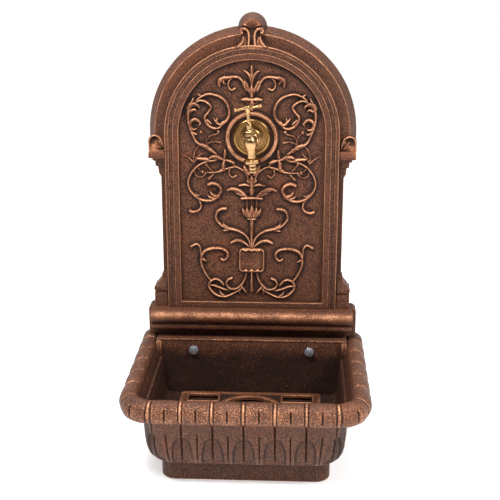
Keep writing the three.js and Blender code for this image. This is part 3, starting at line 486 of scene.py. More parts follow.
def lay(points, widths, rise, teeth=0, rib=0.0):
    """Raises the field along a way. Teeth cut the sides of a leaf, and rib grooves its middle."""
    way = curve_through(points, 0.7)
    share_along = np.linspace(0, 1, len(way))
    half_along = np.interp(share_along, np.linspace(0, 1, len(widths)), widths) / 2 * STRAND_FULLNESS
    half_along = np.convolve(np.pad(half_along, 4, mode="edge"), np.ones(9) / 9, mode="valid")
    margin = max(widths) / 2 * 1.4 + 2.5
    rows = np.flatnonzero((field_z > way[:, 1].min() - margin) & (field_z < way[:, 1].max() + margin))
    for sign in (1, -1):
        x = way[:, 0] * sign
        columns = np.flatnonzero((field_x > x.min() - margin) & (field_x < x.max() + margin))
        if not len(rows) or not len(columns):
            continue
        grid_x, grid_z = np.meshgrid(field_x[columns], field_z[rows])
        away = np.hypot(grid_x[..., None] - x, grid_z[..., None] - way[:, 1])
        nearest = away.argmin(axis=-1)
        distance = away.min(axis=-1)
        share, half = share_along[nearest], half_along[nearest]
        if teeth:
            saw = (share * teeth + distance / (2 * half + 1) * 0.5) % 1
            half = half * (0.74 + 0.42 * saw)
        inside = np.clip(distance / half, 0, 1)
        height = rise * 1.25 * np.minimum(1, half / 1.9) * (1 - inside ** 2) ** 0.6
        if rib:
            height = height - rib * np.exp(-(distance / 0.9) ** 2)
        height = np.where(distance < half, height, -(distance - half) * 2.6)
        area = np.ix_(rows, columns)
        field[area] = np.maximum(field[area], height)


def ball(x, z, radius, rise):
    """A berry, and its mirror image."""
    lay([[x, z - 0.4], [x, z], [x, z + 0.4]], [2 * radius] * 2, rise)


print("field of", field.shape, "heights at", FIELD_STEP, "mm")

# %% [markdown]
# Now the ornament itself, from the crowning fleuron down. Every entry is a way in x and z from
# the centre line, its widths from start to end, and how far it rises. The right half mirrors the
# left, as the carver would have laid it out.

# %% The ornament: crown and upper scrolls
twig = 2.9
lay([[0, 652], [0, 662], [0, 673]], [3, 8, 1], 5)
lay([[-1, 640], [-3, 650], [-8, 657.5], [-17, 663]], [2.6, 5.4, 5, 1], 4.6, rib=0.8)
lay([[0, 630], [0, 642], [0, 654]], [3, 4.4, 3], 4)
lay([[-1, 620], [-6, 629], [-9.5, 637], [-13, 645]], [3, 6.4, 6.4, 1.4], 5, rib=0.8)
lay([[-11, 629], [-15, 637], [-13, 644]], [5, 4.4, 1.5], 4.4)
lay([[0, 616], [0, 625], [0, 636]], [5, 12, 1.5], 6)
lay([[-9, 626], [-16, 642], [-24, 649.5], [-36, 650], [-46, 648]], [3, 4.4, 4.6, 5, 6], 4.8)
lay([[-41, 649], [-51, 647.5], [-57, 641], [-56, 632]], [5, 8, 8.6, 2.6], 5, teeth=3, rib=0.6)
lay([[-50, 646], [-49, 640], [-45, 637]], [4, 4, 1.5], 4)
lay([[-33, 649], [-40, 643], [-41, 634], [-36, 627.5], [-29.5, 630]], [twig, 3.2, 3.2, 3.4, 5], 4)
lay([[0, 610], [-8, 611], [-17.5, 611]], [5, 9, 3], 5.4)
lay([[-1, 607], [-6, 604], [-10, 606]], [3, 3, 2], 3.4)
lay([[0, 594], [0, 602], [0, 611]], [9, 11, 4], 5.6)
lay([[-97, 609], [-90, 615], [-78, 620], [-66, 619], [-52, 613], [-43, 602], [-39.5, 588], [-43, 576],
     [-52, 567], [-60, 568], [-67, 577]], [3, 4, 4.6, 5, 5.2, 5.4, 5.4, 5.6, 6.6, 5.6, 2], 5)
lay([[-53, 569], [-49, 572], [-45, 571]], [4, 5, 1.5], 4.4)
lay([[-60, 569], [-62, 574], [-60, 579]], [4, 4, 1.4], 4.4)
lay([[-88, 616], [-93, 619], [-96, 622]], [3, 3.4, 1], 4)
lay([[-98, 606], [-90, 609], [-80, 606], [-72, 598], [-76, 589], [-83, 580], [-80, 569], [-71, 561],
     [-60, 560], [-51, 567]], [3, 4.4, 4.8, 4.6, 4, 5.6, 6, 5.4, 4.6, 4], 5)
lay([[-79, 574], [-75, 571], [-71, 567]], [5, 5, 2], 4.2)
lay([[-103, 612], [-110, 596], [-112.5, 580], [-111, 566], [-106, 551], [-99, 536], [-89, 528]],
    [3, 6.2, 6, 4.6, 4.4, 4.4, 5], 5)
lay([[-112, 595], [-105, 602], [-95, 600], [-92, 593]], [9, 9.5, 6, 1.5], 5, teeth=3, rib=0.8)
lay([[-108, 590], [-101, 593], [-97, 588]], [6, 5, 1.4], 4.4)
lay([[-109, 563], [-107, 572], [-99, 575], [-91, 569], [-93, 566]], [3, 5.4, 7, 5, 3], 5, rib=0.5)
lay([[-111, 566], [-105, 558], [-99, 558], [-96, 561]], [5, 6, 4, 1.2], 4.4)
lay([[-105, 552], [-99, 549], [-97, 553]], [5, 4.4, 1.2], 4.2)
lay([[-95, 531], [-85, 528], [-74, 521], [-61, 512]], [5, 9.4, 7, 2], 5, teeth=4, rib=0.7)
print("highest so far", round(field.max(), 1), "mm")

# %% The ornament: twigs, flower and lower scrolls
lay([[-81, 528], [-80, 538], [-83, 546], [-89, 551]], [twig, twig, 2.6, 2.4], 3.4)
ball(-90, 552.5, 3, 3.6)
lay([[-80, 537], [-74, 546], [-65, 548.5], [-60, 551]], [2.2, 2.8, 2.8, 3.4], 3.4)
ball(-59, 553.5, 3.2, 4)
lay([[-83, 529], [-73, 534.5], [-64, 535.5], [-56, 534.5]], [2.4, twig, twig, 3.6], 3.4)
lay([[-93, 529], [-101, 519], [-104, 507], [-103, 498]], [2.4, twig, twig, 3], 3.4)
lay([[-122, 510], [-113, 506], [-103, 497.5]], [2, twig, 3.4], 3.4)
lay([[-90, 514], [-96, 508], [-103, 498]], [2, twig, 3.2], 3.2)
lay([[-49, 506], [-47.5, 513], [-47.5, 521]], [3, 8, 2.4], 5.2)
lay([[-49, 502], [-50.5, 495], [-50.5, 488]], [4, 9, 6], 5.2)
lay([[-46, 503], [-39, 500.5], [-32, 498]], [3, 7.4, 5], 5)
lay([[-52, 504], [-61, 507], [-71, 508], [-77, 505]], [3.4, 9.6, 8.4, 2], 5.2, rib=0.4)
lay([[-101, 507], [-93, 504.5], [-84, 504], [-73, 501], [-62, 503]], [1.6, 7, 8.4, 5, 3], 4.6, teeth=3)
lay([[-73, 500], [-87, 497.5], [-101, 488], [-111, 474], [-114.5, 460], [-111, 447], [-101, 435],
     [-87, 428], [-72, 428.5], [-61, 436], [-55, 447], [-60, 456], [-70, 459.5], [-78, 457]],
    [3, 3, 3.4, 3.8, 4.2, 4.4, 4.8, 5, 6, 6.4, 6.4, 6, 7, 7], 5)
lay([[-60, 435], [-66, 436], [-72, 440], [-75, 446]], [7, 8, 6, 1.2], 4.8)
lay([[-68, 431], [-75, 434], [-80, 438]], [6, 5, 1.2], 4.4)
lay([[-104, 440], [-98, 437], [-92, 438]], [4, 4, 1], 4)
lay([[-101, 434], [-94, 426], [-92, 416], [-97, 409], [-106, 406], [-112, 408]],
    [3.4, 3.6, 3.8, 4.4, 6.4, 6], 4.6)
lay([[-6, 468], [-11, 479], [-18, 485.5], [-28, 491], [-38, 498]], [3, 3.8, 3.6, 2.8, 2.6], 4.2)
lay([[-6, 477], [-11, 484], [-14, 494]], [8, 9, 1.4], 4.8, rib=0.6)
lay([[-16, 485], [-27, 490], [-39, 489], [-52, 484], [-66, 480], [-82, 479.5]],
    [3, 3.2, 3.4, 3.6, 3, 2.6], 4)
lay([[-45, 487], [-53, 484], [-60, 480]], [3, 8, 2.4], 4.4, rib=0.6)
lay([[-31, 489.5], [-39, 486], [-40.5, 477.5], [-35, 471.5], [-28, 474.5]], [2.4, 2.8, 3, 3, 4.4], 3.8)
lay([[-82, 479.5], [-87, 473], [-94, 471], [-101, 475], [-103, 483]], [4, 2.8, 2.8, 2.8, 3], 3.6)
ball(-88, 480, 3.4, 4)
lay([[-88, 478], [-94, 484], [-99, 491]], [2, 2.4, 2.8], 3.2)
lay([[-69, 480], [-75, 486], [-81, 494]], [2.4, 2.6, 3.2], 3.4)
ball(-82, 494.5, 2.4, 3.4)
lay([[-67, 479], [-72, 473], [-77, 468]], [2.4, 3.6, 5], 3.6)
print("highest so far", round(field.max(), 1), "mm")

# %% The ornament: torch, basket and foot scrolls
lay([[0, 456], [0, 463], [0, 474]], [8, 13.4, 1.4], 6)
lay([[-2, 460], [-7, 464], [-9, 468]], [5, 5, 1.2], 4.6)
lay([[-3, 455], [-11, 458], [-23, 456.5]], [2, 6.4, 3], 5)
lay([[0, 442], [0, 447.5], [0, 455]], [8, 10.5, 4], 5.6)
lay([[-8, 434], [-15, 441], [-25, 447], [-36, 449.5], [-44, 447]], [3, 6.4, 9, 8.4, 3.4], 5, rib=0.6)
lay([[-12, 436], [-22, 440], [-31, 443]], [3.4, 5, 2], 4.2)
lay([[-18, 432.5], [0, 433.5], [18, 432.5]], [5, 6, 5], 5.6)
for column in (0, -9):
    lay([[column * 0.92, 411], [column, 431]], [2.6, 2.6], 3.8)
for tip, base, high in ((0, 0, 419), (-9, -4, 415), (-16.5, -8, 414)):
    lay([[base, 400], [(tip + base) / 2 - 1, 405], [tip, high]], [7, 8.4, 1.6], 6, rib=0.7)
lay([[-10, 401], [0, 399], [10, 401]], [4, 8, 4], 5.4)
lay([[-6.5, 394.5], [0, 394.5], [6.5, 394.5]], [3.6, 3.6, 3.6], 5)
lay([[0, 394], [0, 368], [0, 341]], [7.4, 5.6, 3.6], 5, rib=0.9)
lay([[-2, 341], [-5, 354], [-12, 364], [-24, 371.5], [-38, 375], [-49, 378], [-59, 385.5], [-65, 396],
     [-62.5, 407], [-55, 412], [-47, 413]], [3, 3.4, 3.8, 4.4, 6, 6, 4.6, 4.8, 5, 6.4, 6.8], 5)
lay([[-36, 375.5], [-45, 373], [-55, 371.5]], [5, 6, 1.4], 4.6)
lay([[-44, 378], [-50, 382], [-52, 387]], [5, 5, 1.4], 4.4)
lay([[-4, 341], [-11, 347.5], [-20, 352], [-29, 352.5], [-37, 349]], [2.6, 4.6, 6.4, 7.4, 5], 4.8, rib=0.6)
lay([[-9, 294], [-12, 281], [-19, 268], [-30, 259.5], [-41, 261], [-47, 269], [-44, 277], [-37, 280.5]],
    [2.6, 3, 4.6, 4.6, 3.8, 3.4, 3.8, 5.6], 4.6)
lay([[-19, 264], [-13, 257], [-7, 249]], [4.6, 4.6, 1.2], 4.4, rib=0.4)
lay([[-22, 260], [-22, 252], [-19, 246]], [4, 3.4, 1], 4)
lay([[-18, 260], [-33, 251.5], [-49, 244.5], [-64, 246.5], [-75, 256], [-79.5, 266], [-75, 275],
     [-66, 278.5], [-58, 275], [-52, 267.5]], [2.6, 3, 3.6, 4.6, 5, 5, 4.6, 4.4, 4.8, 3.6], 4.8)
lay([[-42, 257], [-50, 258.5], [-61, 262.5], [-70, 266], [-77, 266]], [2.4, 3.4, 4, 4.4, 3], 4.4)
lay([[-52, 246], [-57, 250.5], [-60, 256.5]], [5, 4.4, 1.2], 4.4)
lay([[-76, 276], [-84, 287], [-91, 302], [-93, 316], [-89, 329], [-79, 335.5], [-66, 338], [-53, 336.5],
     [-44.5, 330], [-44.5, 321], [-51, 315.5], [-56, 318]],
    [3, 3.6, 4.6, 5.4, 5, 6.4, 7, 6, 5.4, 5.4, 5.4, 4], 5)
lay([[-92, 318], [-86, 314], [-81, 313.5]], [6, 5, 1.2], 4.4)
lay([[-93, 318], [-94, 331], [-95, 340], [-101, 345.5], [-111, 340.5]], [3.4, 3.2, 3.4, 4.8, 6.4], 4.6)
lay([[0, 293], [0, 276], [0, 257]], [3, 5.4, 6.8], 5)
print("highest", round(field.max(), 1), "mm")

# %% [markdown]
# The basket is a cushion crossed by two sets of slanting bars, inside a rounded rim with small
# leaves at its head and foot. Bars that repeat like this are a rule, so the rule is written once
# over the grid.

# %% The lattice basket
basket_half, basket_height, basket_corner, lattice_pitch = 22, 315.5, 8, 5.6
grid_x, grid_z = np.meshgrid(field_x, field_z)
beyond_x = np.maximum(np.abs(grid_x) - (basket_half - basket_corner), 0)
beyond_z = np.maximum(np.abs(grid_z - basket_height) - (basket_half - basket_corner), 0)
outside = np.hypot(beyond_x, beyond_z) - basket_corner
slant_one = np.abs((grid_x + grid_z) % lattice_pitch - lattice_pitch / 2)
slant_two = np.abs((grid_x - grid_z) % lattice_pitch - lattice_pitch / 2)
bars = np.clip(1.35 - np.minimum(slant_one, slant_two), 0, 1)
cushion = 0.5 + 1.6 * np.clip(-outside / basket_half, 0, 1) + 2.9 * bars
rim_profile = 5.2 * np.clip(1 - ((outside + 0.2) / 2.3) ** 2, 0, 1) ** 0.6
raised = np.where(outside < -1.6, np.maximum(cushion, rim_profile), rim_profile)
raised = np.where(outside > 2.0, -(outside - 2.0) * 2.6, raised)
field = np.maximum(field, raised)
for side in (0, -11):
    lay([[side - 5, 336.5], [side, 334.5], [side + 5, 336.5]], [2, 6, 2], 6)
    lay([[side - 5, 294.5], [side, 296.5], [side + 5, 294.5]], [2, 6, 2], 6)

def blurred(heights, reach):
    """The mean height within about this reach of every point."""
    cells = max(1, round(reach / FIELD_STEP))
    ones = np.ones(2 * cells + 1) / (2 * cells + 1)
    for axis in (0, 1, 0, 1):
        heights = np.apply_along_axis(lambda row: np.convolve(row, ones, mode="same"), axis, heights)
    return heights


soft = np.pad(field, 1, mode="edge")
soft = (soft[1:-1, 1:-1] * 4 + soft[:-2, 1:-1] + soft[2:, 1:-1] + soft[1:-1, :-2] + soft[1:-1, 2:]) / 8
field = np.where(field > -1.8, soft, field)
# Painted shade round the strands: what stands round each spot, blurred, darkens the panel near the relief.
to_ring = np.abs(np.hypot(grid_x, grid_z - boss_height) - ring_radius)
past_panel = np.hypot(grid_x, np.maximum(grid_z - springing, 0)) > frame_sizes["panel"] - 2
standing = np.where(to_ring < ring_half, 6, np.maximum(field, 0))
standing = standing + 5 * (past_panel | (grid_z < panel_bottom + 2))
height_around_for_shade = np.maximum(blurred(standing, 2.2), 0.8 * blurred(standing, 4.6))
print("raised share of the panel", round(float((field > 0).mean()), 3))


# %% [markdown]
# The field becomes a mesh where it rises from the panel, with its feet sunk just under the ground,
# so that no gap shows. Its flat back, which nobody sees, is merged into a few faces, because a
# fine grid there would only cost time.

# %% The relief and the plate
def flatten_back(piece):
    """Merges a flat back's many small faces into a few."""
    work = bmesh.new()
    work.from_mesh(piece.data)
    inner = [edge for edge in work.edges
             if len(edge.link_faces) == 2 and all(face.normal.y > 0.999 for face in edge.link_faces)]
    corners = list({vertex for edge in inner for vertex in edge.verts})
    bmesh.ops.dissolve_limit(work, angle_limit=0.01, use_dissolve_boundaries=False,
                             verts=corners, edges=inner)
    work.to_mesh(piece.data)
    work.free()


def relief_piece(name, lowest=-1.3):
    """The cells that rise from the panel, with their feet just under its ground."""
    rises = field > lowest
    beside = np.pad(rises, 1)
    wide = beside[1:-1, 1:-1] | beside[:-2, 1:-1] | beside[2:, 1:-1] | beside[1:-1, :-2] | beside[1:-1, 2:]
    piece = new_piece(name, [sheet(field_x, field_z, np.maximum(field, lowest), wide, lowest - 0.4)], 75)
    flatten_back(piece)
    return piece


ornament = relief_piece("plate_ornament")
plate = new_piece("plate_casting", plate_parts)
flatten_back(plate)
for piece in (ornament, plate):
    print(piece.name, len(piece.data.polygons), "faces")

# %% [markdown]
# ## The basin's plan
# Seen from above the basin is a U: a straight front, two round corners and two arms back to the
# wall. It draws in towards its foot along one curve. Every point of the wall is found from the
# way along the U, the height, and the distance off the surface.

# %% The basin's plan
pitch = 51
foot_height, body_top, rim_top = 34.5, 150, 165
foot_plan = {"half": 144, "front": 280, "corner": 26}
body_out, lean = 2, {"half": 8, "front": 10}
belly = {"half": 19.5, "front": 34, "corner": 23.4}
basin_wall, back_wall, floor_top = 6, 47, 56


def plan(height):
    """The U at a height: it leans out as it rises, and draws in sharply at the foot."""
    share = np.clip((body_top - np.asarray(height, float)) / (body_top - foot_height), 0, 1)
    drawn = share ** 10
    sides = {key: foot_plan[key] + body_out + lean[key] * (1 - share) + belly[key] * (1 - drawn)
             for key in ("half", "front")}
    return {**sides, "corner": foot_plan["corner"] + belly["corner"] * (1 - drawn * 0.8)}


def along_plan(way, here, reference, out=0.0):
    """Across and forward at a way along the reference plan's U, on the plan found here."""
    straight = reference["half"] - reference["corner"]
    bend = math.pi / 2 * reference["corner"]
    side, distance = np.where(way < 0, -1.0, 1.0), np.abs(way)
    inner_half, inner_front = here["half"] - here["corner"], here["front"] - here["corner"]
    angle = np.clip((distance - straight) / reference["corner"], 0, math.pi / 2)
    radius = here["corner"] + out
    shrink = inner_front / (reference["front"] - reference["corner"])
    back = np.maximum(distance - straight - bend, 0) * shrink
    level = 0.85 * straight
    beyond = np.clip(distance - level, 0, straight - level)
    run = np.minimum(distance, level) + beyond * (inner_half - level) / (straight - level)
    across = side * (run + radius * np.sin(angle))
    forward = inner_front + radius * np.cos(angle) - back
    return across, forward


reference_plan = {key: float(value) for key, value in plan(90).items()}
half_way = (reference_plan["half"] - reference_plan["corner"] + math.pi / 2 * reference_plan["corner"]
            + reference_plan["front"] - reference_plan["corner"])
print("half the way round the basin:", round(half_way), "mm")

# %% [markdown]
# ## Geometry Nodes, built from a script
# The rim's gadroons and the waterleaf below it repeat every 51 mm round the basin. A pattern that
# repeats along a way is what Geometry Nodes are good at, so both are trees. The small class
# below adds a node, sets its values, and gives back its output, so that a formula reads almost
# as it is written. The materials use it too.

# %% A helper for node trees
class Nodes:
    """Short calls for a node tree. Each adds a node, sets its values and gives back its output."""

    def __init__(self, tree):
        self.tree = tree

    def node(self, kind, values=(), **settings):
        made = self.tree.nodes.new(kind)
        for name, value in settings.items():
            setattr(made, name, value)
        for key, value in dict(values).items():
            self.put(made.inputs[key], value)
        return made

    def put(self, socket, value):
        if isinstance(value, bpy.types.NodeSocket):
            self.tree.links.new(value, socket)
        else:
            socket.default_value = value

    def math(self, operation, *values, clamp=False):
        made = self.node("ShaderNodeMath", operation=operation, use_clamp=clamp)
        for socket, value in zip(made.inputs, values):
            self.put(socket, value)
        return made.outputs[0]

    def plus(self, one, other):
        return self.math("ADD", one, other)

    def minus(self, one, other):
        return self.math("SUBTRACT", one, other)

    def times(self, one, other, clamp=False):
        return self.math("MULTIPLY", one, other, clamp=clamp)

    def over(self, one, other):
        return self.math("DIVIDE", one, other)

    def step(self, value, low, high, to_low=0.0, to_high=1.0):
        """A smooth step up from one value to another."""
        made = self.node("ShaderNodeMapRange", {"Value": value, "From Min": low, "From Max": high,
                                                "To Min": to_low, "To Max": to_high},
                         interpolation_type="SMOOTHSTEP")
        return made.outputs[0]

    def fade(self, value, low, high, to_low=1.0, to_high=0.0):
        """A smooth step down."""
        return self.step(value, low, high, to_low, to_high)


class Tree(Nodes):
    """A Geometry Nodes tree with named inputs."""

    def __init__(self, name, inputs):
        super().__init__(bpy.data.node_groups.new(name, "GeometryNodeTree"))
        sockets = self.tree.interface
        sockets.new_socket("Geometry", in_out="OUTPUT", socket_type="NodeSocketGeometry")
        sockets.new_socket("Geometry", in_out="INPUT", socket_type="NodeSocketGeometry")
        for label, kind in inputs.items():
            sockets.new_socket(label, in_out="INPUT", socket_type="NodeSocket" + kind)
        self.inputs = self.tree.nodes.new("NodeGroupInput").outputs

    def off_multiple(self, value, step, shift=0.0):
        """How far a value is from the nearest multiple of a step."""
        half = self.times(step, 0.5)
        wrapped = self.math("WRAP", self.plus(value, shift), half, self.times(half, -1.0))
        return self.math("ABSOLUTE", wrapped)

    def kept(self, name, kind="FLOAT"):
        """Reads a value that is kept on the mesh."""
        return self.node("GeometryNodeInputNamedAttribute", {"Name": name}, data_type=kind).outputs[0]

    def keep(self, geometry, name, value):
        """Keeps a value on the mesh under a name."""
        return self.node("GeometryNodeStoreNamedAttribute", {"Geometry": geometry, "Name": name,
                                                             "Value": value}).outputs[0]

    def pushed(self, geometry, direction, reach):
        """Moves every point this far along a direction."""
        push = self.node("ShaderNodeVectorMath", {0: direction, "Scale": reach}, operation="SCALE")
        return self.node("GeometryNodeSetPosition", {"Geometry": geometry,
                                                     "Offset": push.outputs[0]}).outputs[0]

    def finish(self, geometry, material):
        realized = self.node("GeometryNodeRealizeInstances", {"Geometry": geometry})
        painted = self.node("GeometryNodeSetMaterial", {"Geometry": realized.outputs[0],
                                                        "Material": material})
        end = self.tree.nodes.new("NodeGroupOutput")
        self.tree.links.new(painted.outputs[0], end.inputs[0])


def grow(piece, tree, values):
    """Runs a tree on a piece with these inputs, and keeps the result as a plain mesh."""
    modifier = piece.modifiers.new(tree.tree.name, "NODES")
    modifier.node_group = tree.tree
    for item in tree.tree.interface.items_tree:
        if item.in_out == "INPUT" and item.name in values:
            modifier[item.identifier] = values[item.name]
    evaluated = piece.evaluated_get(bpy.context.evaluated_depsgraph_get())
    made = bpy.data.meshes.new_from_object(evaluated)
    piece.modifiers.clear()
    piece.data = made
    return piece


def line_object(name, points, closed=False):
    """A line of edges, as a way or a section for a tree."""
    mesh = bpy.data.meshes.new(name)
    edges = [[k, k + 1] for k in range(len(points) - 1)] + ([[len(points) - 1, 0]] if closed else [])
    mesh.from_pydata([list(map(float, point)) for point in points], edges, [])
    return placed(name, mesh)


print("tree helper ready")

# %% [markdown]
# ## The cast paint
# The casting is dark brown paint with copper rubbed over it by hand: the high places took the
# copper, and here and there the rub left an orange cloud. Hollows are darkened with painted shade,
# and the palest copper carries a painted highlight. Under the paint the sand mould left a fine
# grain. Three effects are shared by several pieces, so each is a shader node group: the rub, the
# clouds and the grain.

# %% Shader node groups
class Shader(Nodes):
    """A shader tree in a material or in a group, with noise and colours besides."""

    def kept(self, name):
        """Reads a value that is kept on the mesh."""
        return self.node("ShaderNodeAttribute", attribute_name=name).outputs["Fac"]

    def noise(self, place, scale, detail=3.0, rough=0.55):
        made = self.node("ShaderNodeTexNoise", {"Vector": place, "Scale": scale, "Detail": detail,
                                                "Roughness": rough})
        return made.outputs["Fac"]

    def mix(self, share, one, other):
        made = self.node("ShaderNodeMix", data_type="RGBA")
        self.put(made.inputs["Factor"], share)
        self.put(made.inputs[6], one)
        self.put(made.inputs[7], other)
        return made.outputs[2]


def shader_group(name, inputs, outputs):
    tree = bpy.data.node_groups.new(name, "ShaderNodeTree")
    for label, kind in inputs.items():
        tree.interface.new_socket(label, in_out="INPUT", socket_type="NodeSocket" + kind)
    for label, kind in outputs.items():
        tree.interface.new_socket(label, in_out="OUTPUT", socket_type="NodeSocket" + kind)
    shader = Shader(tree)
    return shader, tree.nodes.new("NodeGroupInput").outputs, tree.nodes.new("NodeGroupOutput").inputs


def paint_rub_group():
    """Where copper was rubbed on: high places, broken up by the grain."""
    shader, given, out = shader_group(
        "Copper rub", {"Place": "Vector", "High": "Float", "Strength": "Float", "Speckle": "Float"},
        {"Rub": "Float"})
    coarse = shader.noise(given["Place"], 38.0, 4.0, 0.6)
    fine = shader.noise(given["Place"], 620.0, 2.0, 0.6)
    spots = shader.times(shader.minus(fine, 0.5), given["Speckle"])
    broken = shader.math("MULTIPLY_ADD", shader.minus(coarse, 0.5), 0.8, spots)
    wanted = shader.times(given["High"], given["Strength"])
    rubbed = shader.plus(wanted, shader.minus(broken, 0.2))
    shader.put(out["Rub"], shader.step(rubbed, 0.0, 0.75))
    return shader.tree


def cloud_group():
    """Orange clouds and darker stains, large and soft."""
    shader, given, out = shader_group(
        "Patina clouds", {"Place": "Vector", "Size": "Float"}, {"Orange": "Float", "Dark": "Float"})
    stretched = shader.node("ShaderNodeMapping", {"Vector": given["Place"], "Scale": (0.8, 1.0, 1.15)})
    warm = shader.noise(stretched.outputs[0], given["Size"], 5.0, 0.62)
    shifted = shader.node("ShaderNodeMapping", {"Vector": given["Place"], "Location": (3.1, 1.7, 5.3)})
    deep = shader.noise(shifted.outputs[0], given["Size"], 4.0, 0.6)
    shader.put(out["Orange"], shader.step(warm, 0.56, 0.72))
    shader.put(out["Dark"], shader.step(deep, 0.5, 0.68))
    return shader.tree


def sand_grain_group():
    """The grain that the sand mould leaves: fine pits over a slow unevenness."""
    shader, given, out = shader_group(
        "Sand grain", {"Place": "Vector"}, {"Height": "Float", "Speckle": "Float"})
    fine = shader.noise(given["Place"], 980.0, 2.0, 0.6)
    middle = shader.noise(given["Place"], 430.0, 3.0, 0.65)
    slow = shader.noise(given["Place"], 90.0, 2.0, 0.5)
    height = shader.math("MULTIPLY_ADD", fine, 0.4, middle)
    shader.put(out["Height"], shader.math("MULTIPLY_ADD", slow, 0.8, height))
    shader.put(out["Speckle"], shader.step(shader.math("MULTIPLY_ADD", fine, 0.45, middle), 0.6, 0.86))
    return shader.tree


copper_rub, patina_clouds, sand_grain = paint_rub_group(), cloud_group(), sand_grain_group()
print("groups:", [group.name for group in (copper_rub, patina_clouds, sand_grain)])

# %% [markdown]
# The painted casting's material reads two values that are kept on the mesh: `high`, how far a
# spot stands out from what is round it, which takes the copper and in places a painted highlight,
# and `deep`, how far it lies in a hollow, which is painted as shade. Both come from the mesh
# itself, so they follow the form from every side.

# %% The cast paint material
def rgb(red, green, blue):
    """A colour given as it looks on screen, from 0 to 255, for a shader."""
    channels = [c / 255 for c in (red, green, blue)]
    return (*[c / 12.92 if c <= 0.04045 else ((c + 0.055) / 1.055) ** 2.4 for c in channels], 1.0)


def material(name):
    made = bpy.data.materials.new(name)
    made.use_nodes = True
    tree = made.node_tree
    tree.nodes.clear()
    shader = Shader(tree)
    surface = shader.node("ShaderNodeBsdfPrincipled")
    out = shader.node("ShaderNodeOutputMaterial")
    tree.links.new(surface.outputs[0], out.inputs[0])
    place = shader.node("ShaderNodeTexCoord").outputs["Object"]
    return made, shader, surface, place


def group_node(shader, group, **values):
    made = shader.node("ShaderNodeGroup", node_tree=group)
    for name, value in values.items():
        shader.put(made.inputs[name], value)
    return made.outputs


def cast_paint(name, tones, rub=1.0, speckle=1.4, cloud=9.0, orange_share=0.6, rough=0.4, bump=0.0011):
    """Dark paint with stains, orange clouds and grain, copper on what stands high with a painted highlight at
    its palest, and painted shade where the mesh keeps deep.
    """
    made, shader, surface, place = material(name)
    high, deep = shader.kept("high"), shader.kept("deep")
    grain = group_node(shader, sand_grain, Place=place)
    clouds = group_node(shader, patina_clouds, Place=place, Size=cloud)
    rubbed = group_node(shader, copper_rub, Place=place, High=high, Strength=rub, Speckle=speckle)["Rub"]
    base = shader.mix(shader.times(clouds["Dark"], 0.5), tones["body"], tones["dark"])
    warm = shader.times(shader.kept("warm"), shader.math("MULTIPLY_ADD", clouds["Orange"], 0.7, 0.3))
    orange = shader.math("MULTIPLY_ADD", clouds["Orange"], orange_share, warm, clamp=True)
    base = shader.mix(orange, base, tones["orange"])
    base = shader.mix(grain["Speckle"], shader.mix(0.75, base, tones["dark"]),
                      shader.mix(0.6, base, tones["fleck"]))
    # Painted shade: where deep is set, hollows, creases and the basin's inside go towards a near-black brown.
    base = shader.mix(shader.times(deep, 0.92, clamp=True), base, tones["hollow_shade"])
    # The most rubbed copper turns pale: partly rubbed copper, partly a painted highlight.
    coppered = shader.mix(shader.step(rubbed, 0.5, 1.0), tones["copper"], tones["bright_copper_and_highlight"])
    shader.put(surface.inputs["Base Color"], shader.mix(rubbed, base, coppered))
    roughness = shader.math("MULTIPLY_ADD", grain["Speckle"], -0.12, rough + 0.1)
    roughness = shader.math("MULTIPLY_ADD", deep, 0.2, roughness)
    shader.put(surface.inputs["Roughness"], roughness)
    shader.put(surface.inputs["Metallic"], shader.step(rubbed, 0.0, 1.0, 0.05, 0.6))
    lift = shader.node("ShaderNodeBump", {"Height": grain["Height"], "Distance": bump, "Strength": 1.0})
    shader.put(surface.inputs["Normal"], lift.outputs[0])
    surface.inputs["Specular IOR Level"].default_value = 0.22
    return made


# The near-black tone is painted shade for hollows; the palest copper is partly a painted highlight.
tones = {
    "body": rgb(84, 47, 30), "dark": rgb(38, 24, 20), "hollow_shade": rgb(24, 16, 16),
    "fleck": rgb(136, 87, 62), "copper": rgb(162, 102, 72), "bright_copper_and_highlight": rgb(232, 170, 128),
    "orange": rgb(158, 78, 36),
}
plate_paint = cast_paint("Cast paint, plate", tones)
basin_paint = cast_paint("Cast paint, basin", {**tones, "body": rgb(94, 64, 52)}, speckle=2.6, cloud=12.0,
                         orange_share=0.4)
grate_finish = cast_paint("Cast paint, grate", {**tones, "body": rgb(92, 52, 34)}, rub=1.2)
print("cast paints made")


# %% [markdown]
# The tap is polished brass that has been handled, and the screws are zinc plated. Both are bare
# metal, so the colour is in the reflection. A faint film and fine scratches keep the mirror from
# looking like plastic.

# %% Brass and zinc
def polished_metal(name, colour, tarnish, rough, fleck=0.25, bump=0.00008, metallic=1.0):
    """Bare metal under a thin, uneven film."""
    made, shader, surface, place = material(name)
    film = shader.step(shader.noise(place, 55.0, 4.0, 0.6), 0.42, 0.72)
    dull = shader.step(shader.noise(place, 420.0, 2.0, 0.6), 0.5, 0.75)
    tarnished = shader.mix(shader.times(film, fleck), colour, tarnish)
    shader.put(surface.inputs["Base Color"], tarnished)
    roughness = shader.math("MULTIPLY_ADD", film, 0.08, rough)
    shader.put(surface.inputs["Roughness"], shader.math("MULTIPLY_ADD", dull, 0.06, roughness))
    surface.inputs["Metallic"].default_value = metallic
    scratch = shader.noise(place, 1500.0, 2.0, 0.5)
    lift = shader.node("ShaderNodeBump", {"Height": scratch, "Distance": bump, "Strength": 1.0})
    shader.put(surface.inputs["Normal"], lift.outputs[0])
    return made


brass = polished_metal("Polished brass", rgb(202, 162, 114), rgb(128, 86, 48), 0.2, 0.45)
